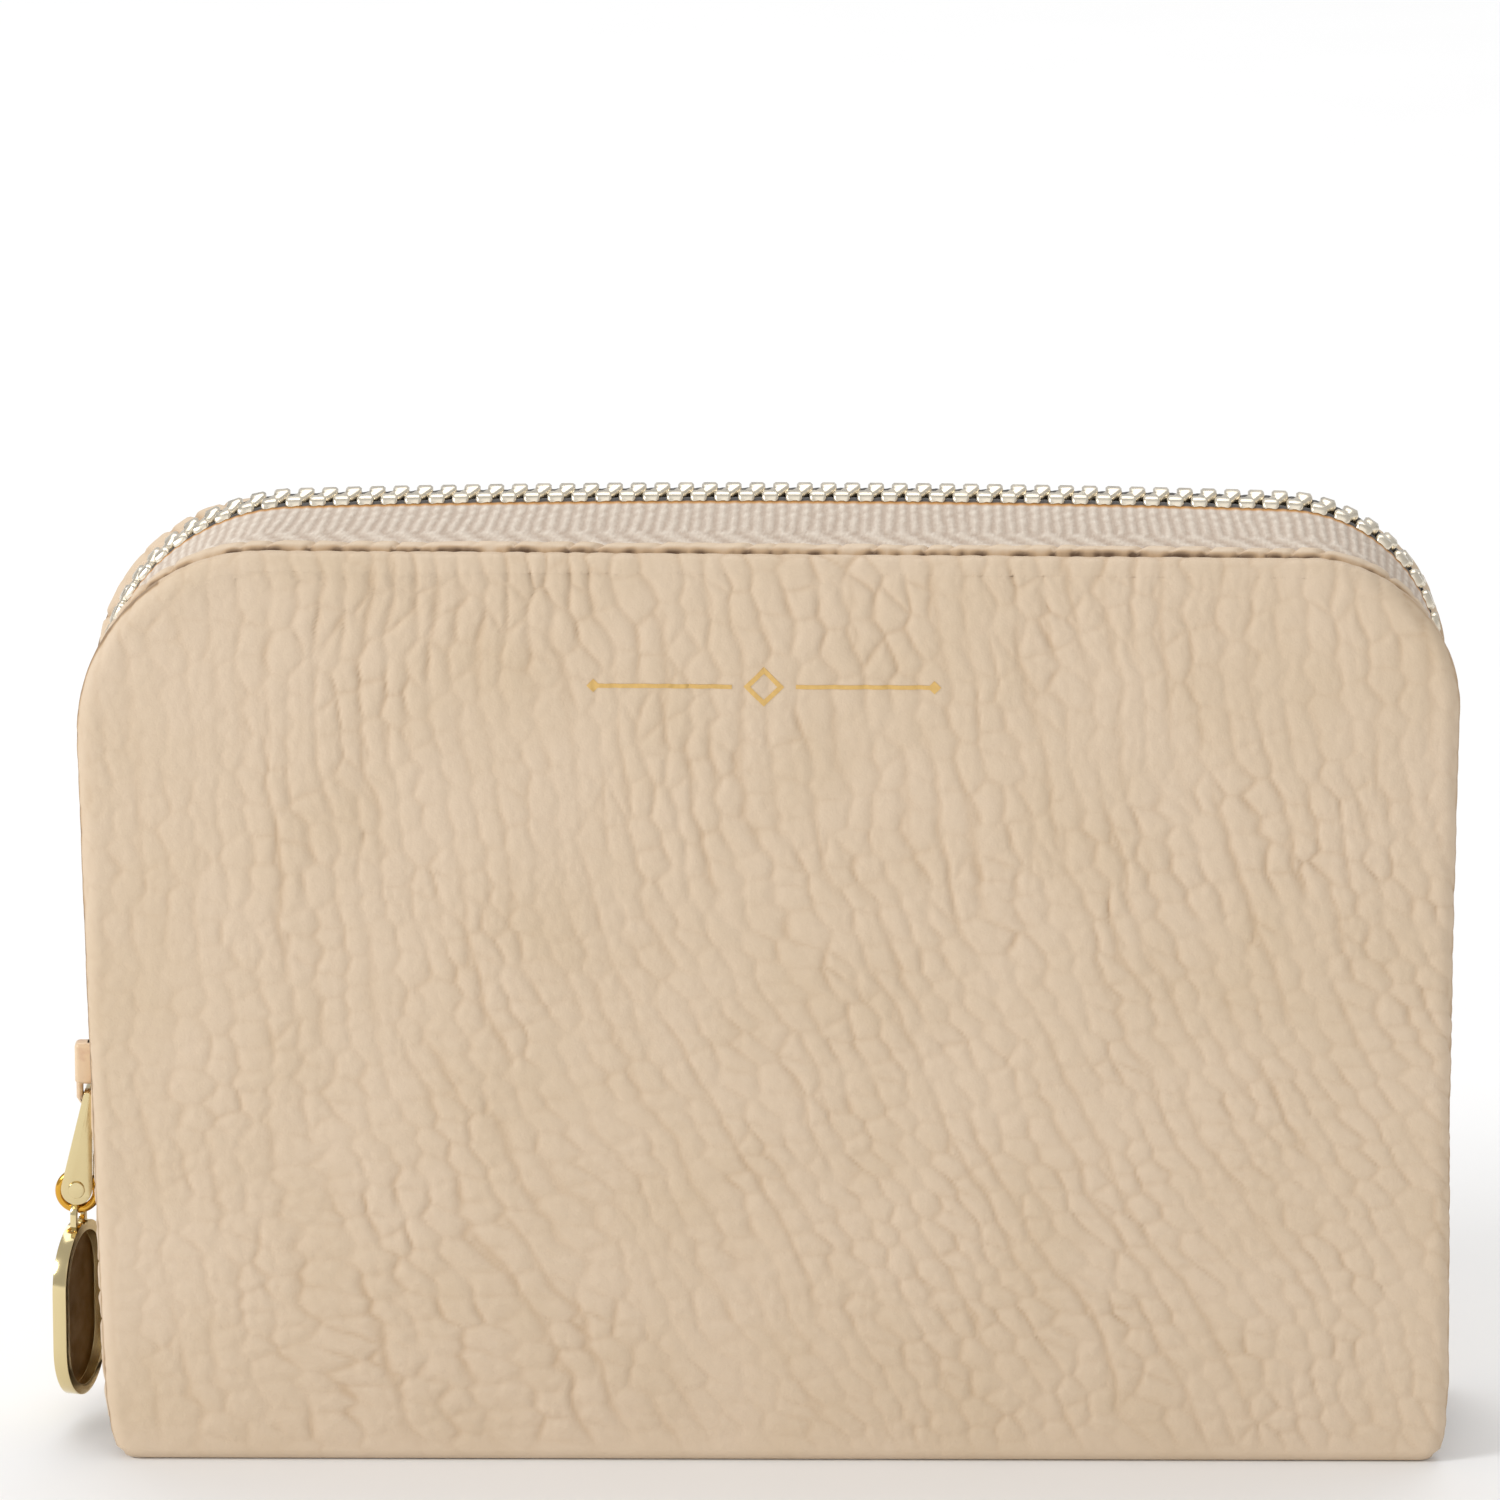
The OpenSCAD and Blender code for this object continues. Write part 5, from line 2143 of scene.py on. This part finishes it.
@dataclass
class Interior:
    """Linings, card slots, side walls and the zipped coin pocket."""

    finishes: Finishes
    frame: dict
    tooth: ToothPattern

    def build(self) -> None:
        """Makes every piece inside the wallet."""
        for half in Half:
            self._cover_side(half)
        self._pocket()
        self._pocket_zip()
        for half in Half:
            for layer, material in (("foam", self.finishes.foam), ("board", self.finishes.board)):
                self._stiffener(half, layer, material)
        board = Casting("spine_board", "spine_stiffener", "spine", 0.1, self.finishes.board, "board").build(self.frame)
        self._reach_ends(board, 61.7)

    def _stiffener(self, half: Half, layer: str, material: bpy.types.Material) -> None:
        """A foam or board layer of one cover, trimmed to the lean of the cover's sides.

        Args:
            half: The cover.
            layer: foam or board.
            material: What it is made of.
        """
        node = f"{half.prefix}_{layer}"
        piece = rounded_copy(self.frame, node, f"{half.prefix}_{layer}_layer", 0.08)
        only(piece)
        bpy.ops.object.mode_set(mode="EDIT")
        for height in (2.4, 3.5, 6.0, 12.0, 25.0, 45.0, 60.0):
            bpy.ops.mesh.select_all(action="SELECT")
            bpy.ops.mesh.bisect(plane_co=(0, 0, height * MM), plane_no=(0, 0, 1))
        bpy.ops.object.mode_set(mode="OBJECT")
        outline = CoverOutline()
        for vertex in piece.data.vertices:
            x, z = vertex.co.x / MM, vertex.co.z / MM
            if abs(x) > 40:
                lean = outline.left_lean if x < 0 else outline.right_lean
                trim = float(np.interp(z, *zip(*lean))) + 0.35
                vertex.co.x -= math.copysign(trim * MM, x)
        dress(piece, material)
        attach(piece, half.body)
        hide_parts(node)
        log.info("%s: %d faces", piece.name, len(piece.data.polygons))

    def _cover_side(self, half: Half) -> None:
        """The lining, card slots and side walls of one cover.

        Args:
            half: The cover's half.
        """
        y, pre, body = half.value, half.prefix, half.body
        ClothPanel(
            f"{pre}_inner_lining", f"{pre}_lining", body, 61.8, 4.7, 85.8, y * 10.5, y * 10.08, self.finishes.lining,
            "lining", rests_on=(f"{pre}_board_layer",), left_radius=14.3, right_radius=11.3, seed=11 + y,
        ).build()
        lines = []
        for k, (high, outer) in enumerate(((68.0, 9.65), (57.0, 8.75), (46.0, 7.85)), 1):
            ClothPanel(
                f"{pre}_card_pocket_{k}", f"{pre}_card_slot_{k}", body, 48.0, 6.0, high, y * outer, y * (outer - 0.45),
                self.finishes.split, "slot_leather", held="laid", rests_on=(f"{pre}_inner_lining",), left_radius=2.0,
                right_radius=2.0, seed=20 + 3 * k + y,
            ).build()
            inner = y * (outer - 0.5)
            lines.append(((-46.0, inner, high - 1.6), (46.0, inner, high - 1.6)))
        side = y * 7.35
        lines += [((x, side, 7.0), (x, side, 44.0)) for x in (-46.6, 46.6)]
        Stitching(f"{pre}_pocket_stitches", body, self.finishes.thread, "slot_leather").build(lines)
        seams = Casting(f"{pre}_slot_seams", f"{pre}_pocket_seams", body, 0.08, self.finishes.split, "slot_leather")
        seams.build(self.frame)
        for side_word in Side:
            Gusset(half, side_word, self.finishes).build()

    def _pocket(self) -> None:
        """The walls and seams of the coin pocket, and the lining under it."""
        cloth = self.finishes.lining
        for half in Half:
            y, pre = half.value, half.prefix
            ClothPanel(
                f"coin_pocket_{pre}_cloth", f"coin_pocket_{pre}_wall", "spine", 56.0, 2.2, 66.0, y * 2.9, y * 2.35,
                cloth, "lining", rests_on=("pocket_base_seam",), seed=50 + y, ripple=0.08,
            ).build()
        Casting("coin_pocket_side_seams", "pocket_side_seams", "spine", 0.1, cloth, "lining").build(self.frame)
        Casting("coin_pocket_base_seam", "pocket_base_seam", "spine", 0.1, cloth, "lining").build(self.frame)
        spine = Casting("spine_lining", "spine_cloth", "spine", 0.1, cloth, "lining").build(self.frame)
        self._reach_ends(spine, 62.0)

    @staticmethod
    def _reach_ends(piece: bpy.types.Object, half_length: float) -> None:
        """Stretches a layer of the spine to the ends of the leather, so that no slot is left between them.

        Args:
            piece: The layer.
            half_length: Half its new length.
        """
        reach = max(vertex.co.x for vertex in piece.data.vertices)
        for vertex in piece.data.vertices:
            vertex.co.x *= half_length * MM / reach

    def _pocket_zip(self) -> None:
        """The zip of the coin pocket."""
        gold = self.finishes.cast
        for half in Half:
            tape = Casting(
                f"coin_zip_{half.prefix}_tape", f"coin_{half.prefix}_woven_tape", "spine", 0.08, self.finishes.tape,
                "zip_tape",
            ).build(self.frame)
            spots = np.array([v.co for v in tape.data.vertices]) / MM
            store_uv(tape, np.stack([spots[:, 0], 4.5 + spots[:, 1]], -1))
            store_value(tape, "yarn_relief_and_painted_shade", np.full(len(spots), 0.6))
            x = np.arange(-46.0 if half is Half.FRONT else -45.0, 39.6, 2.0)
            places = np.stack([x, np.zeros_like(x), np.full_like(x, 66.2)], -1)
            ones = np.ones_like(x)[:, None]
            row = self.tooth.copies(
                f"coin_{half.prefix}_teeth", places, ones * np.array([[1.0, 0, 0]]), ones * np.array([[0, 0, 1.0]]),
                half.value, (0.8, 0.56, 0.66),
            )
            dress(row, self.finishes.teeth)
            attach(row, "spine")
            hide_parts("coin_zip_teeth")
        Casting("coin_zip_stops", "coin_end_clamps", "spine", 0.12, gold, "zip_metal").build(self.frame)
        Casting("coin_slider_body", "coin_slider_shell", "coin_slider", 0.12, gold).build(self.frame)
        Casting("coin_slider_bridge", "coin_slider_arch", "coin_slider", 0.2, gold).build(self.frame)
        Casting("coin_puller", "coin_tab", "coin_zip_puller", 0.14, gold).build(self.frame)


# -------- studio


@dataclass
class Studio:
    """White sweep, soft lights and the camera."""

    finishes: Finishes
    elevation: float = 14.2
    azimuth: float = 0.4
    distance: float = 1000.0
    target: tuple[float, float, float] = (-1.7, -13.0, 70.2)
    view_width: float = 140.9

    def build(self) -> None:
        """Makes the floor, lights, world and camera."""
        bpy.ops.object.select_all(action="DESELECT")
        bpy.ops.mesh.primitive_plane_add(size=6.0, location=(0, 0, 0))
        floor = bpy.context.object
        floor.name = "paper_sweep"
        dress(floor, self.finishes.floor)
        self._light("key_softbox", (-1.35, -0.7, 0.8), 0.5, 14.0)
        self._light("front_card", (0.2, -1.7, 0.75), 1.6, 5.0)
        self._light("sweep_softbox", (0.0, 0.75, 1.3), 1.4, 10.5)
        world = bpy.data.worlds.new("white_studio")
        world.use_nodes = True
        background = world.node_tree.nodes["Background"]
        background.inputs["Color"].default_value = (1.0, 1.0, 1.0, 1.0)
        background.inputs["Strength"].default_value = 0.55
        bpy.context.scene.world = world
        bpy.context.scene.view_settings.view_transform = "Standard"
        self._camera()

    def _light(self, name: str, place: tuple[float, float, float], size: float, power: float) -> None:
        """Adds one square softbox that faces the wallet.

        Args:
            name: Name of the light.
            place: Where it stands, in metres.
            size: Side of the lamp, in metres.
            power: Its power in watts.
        """
        light = bpy.data.lights.new(name, "AREA")
        light.size = size
        light.energy = power
        lamp = bpy.data.objects.new(name, light)
        lamp.location = place
        lamp.rotation_euler = (Vector((0, 0, 0.045)) - Vector(place)).to_track_quat("-Z", "Y").to_euler()
        bpy.context.collection.objects.link(lamp)

    def _camera(self) -> None:
        """Places the camera on the front, a little above, looking past the wallet's upper half."""
        camera = bpy.data.cameras.new("camera")
        camera.sensor_width = 36.0
        camera.lens = 36.0 * self.distance / self.view_width
        camera.clip_end = 20.0
        holder = bpy.data.objects.new("camera", camera)
        turn, rise = math.radians(self.azimuth), math.radians(self.elevation)
        away = Vector((math.sin(turn) * math.cos(rise), -math.cos(turn) * math.cos(rise), math.sin(rise)))
        target = Vector(self.target) * MM
        holder.location = target + away * self.distance * MM
        holder.rotation_euler = (-away).to_track_quat("-Z", "Y").to_euler()
        bpy.context.collection.objects.link(holder)
        bpy.context.scene.camera = holder


# -------- assembly


def main() -> None:
    """Builds the wallet around the frame, piece by piece."""
    logging.basicConfig(level=logging.INFO, format="%(name)s: %(message)s")
    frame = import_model()
    finishes = Finishes.make()
    tooth = ToothPattern.of(Tooth().build())
    covers = {}
    pillow = Pillow().blow()
    back_outline = CoverOutline(left_radius=19.0, right_radius=16.0)
    for half, spacing, outline in ((Half.FRONT, 0.29, CoverOutline()), (Half.BACK, 0.4, back_outline)):
        covers[half] = PaddedCover(half, finishes, outline, spacing, pillow=pillow)
        piece = covers[half].build()
        log.info("%s: %d faces", piece.name, len(piece.data.polygons))
        ZipSide(half, finishes, tooth).build()
    FoilMark(finishes, covers[Half.FRONT]).build()
    SliderSet(finishes, frame).build()
    Interior(finishes, frame, tooth).build()
    Studio(finishes).build()


if __name__ == "__main__":
    main()
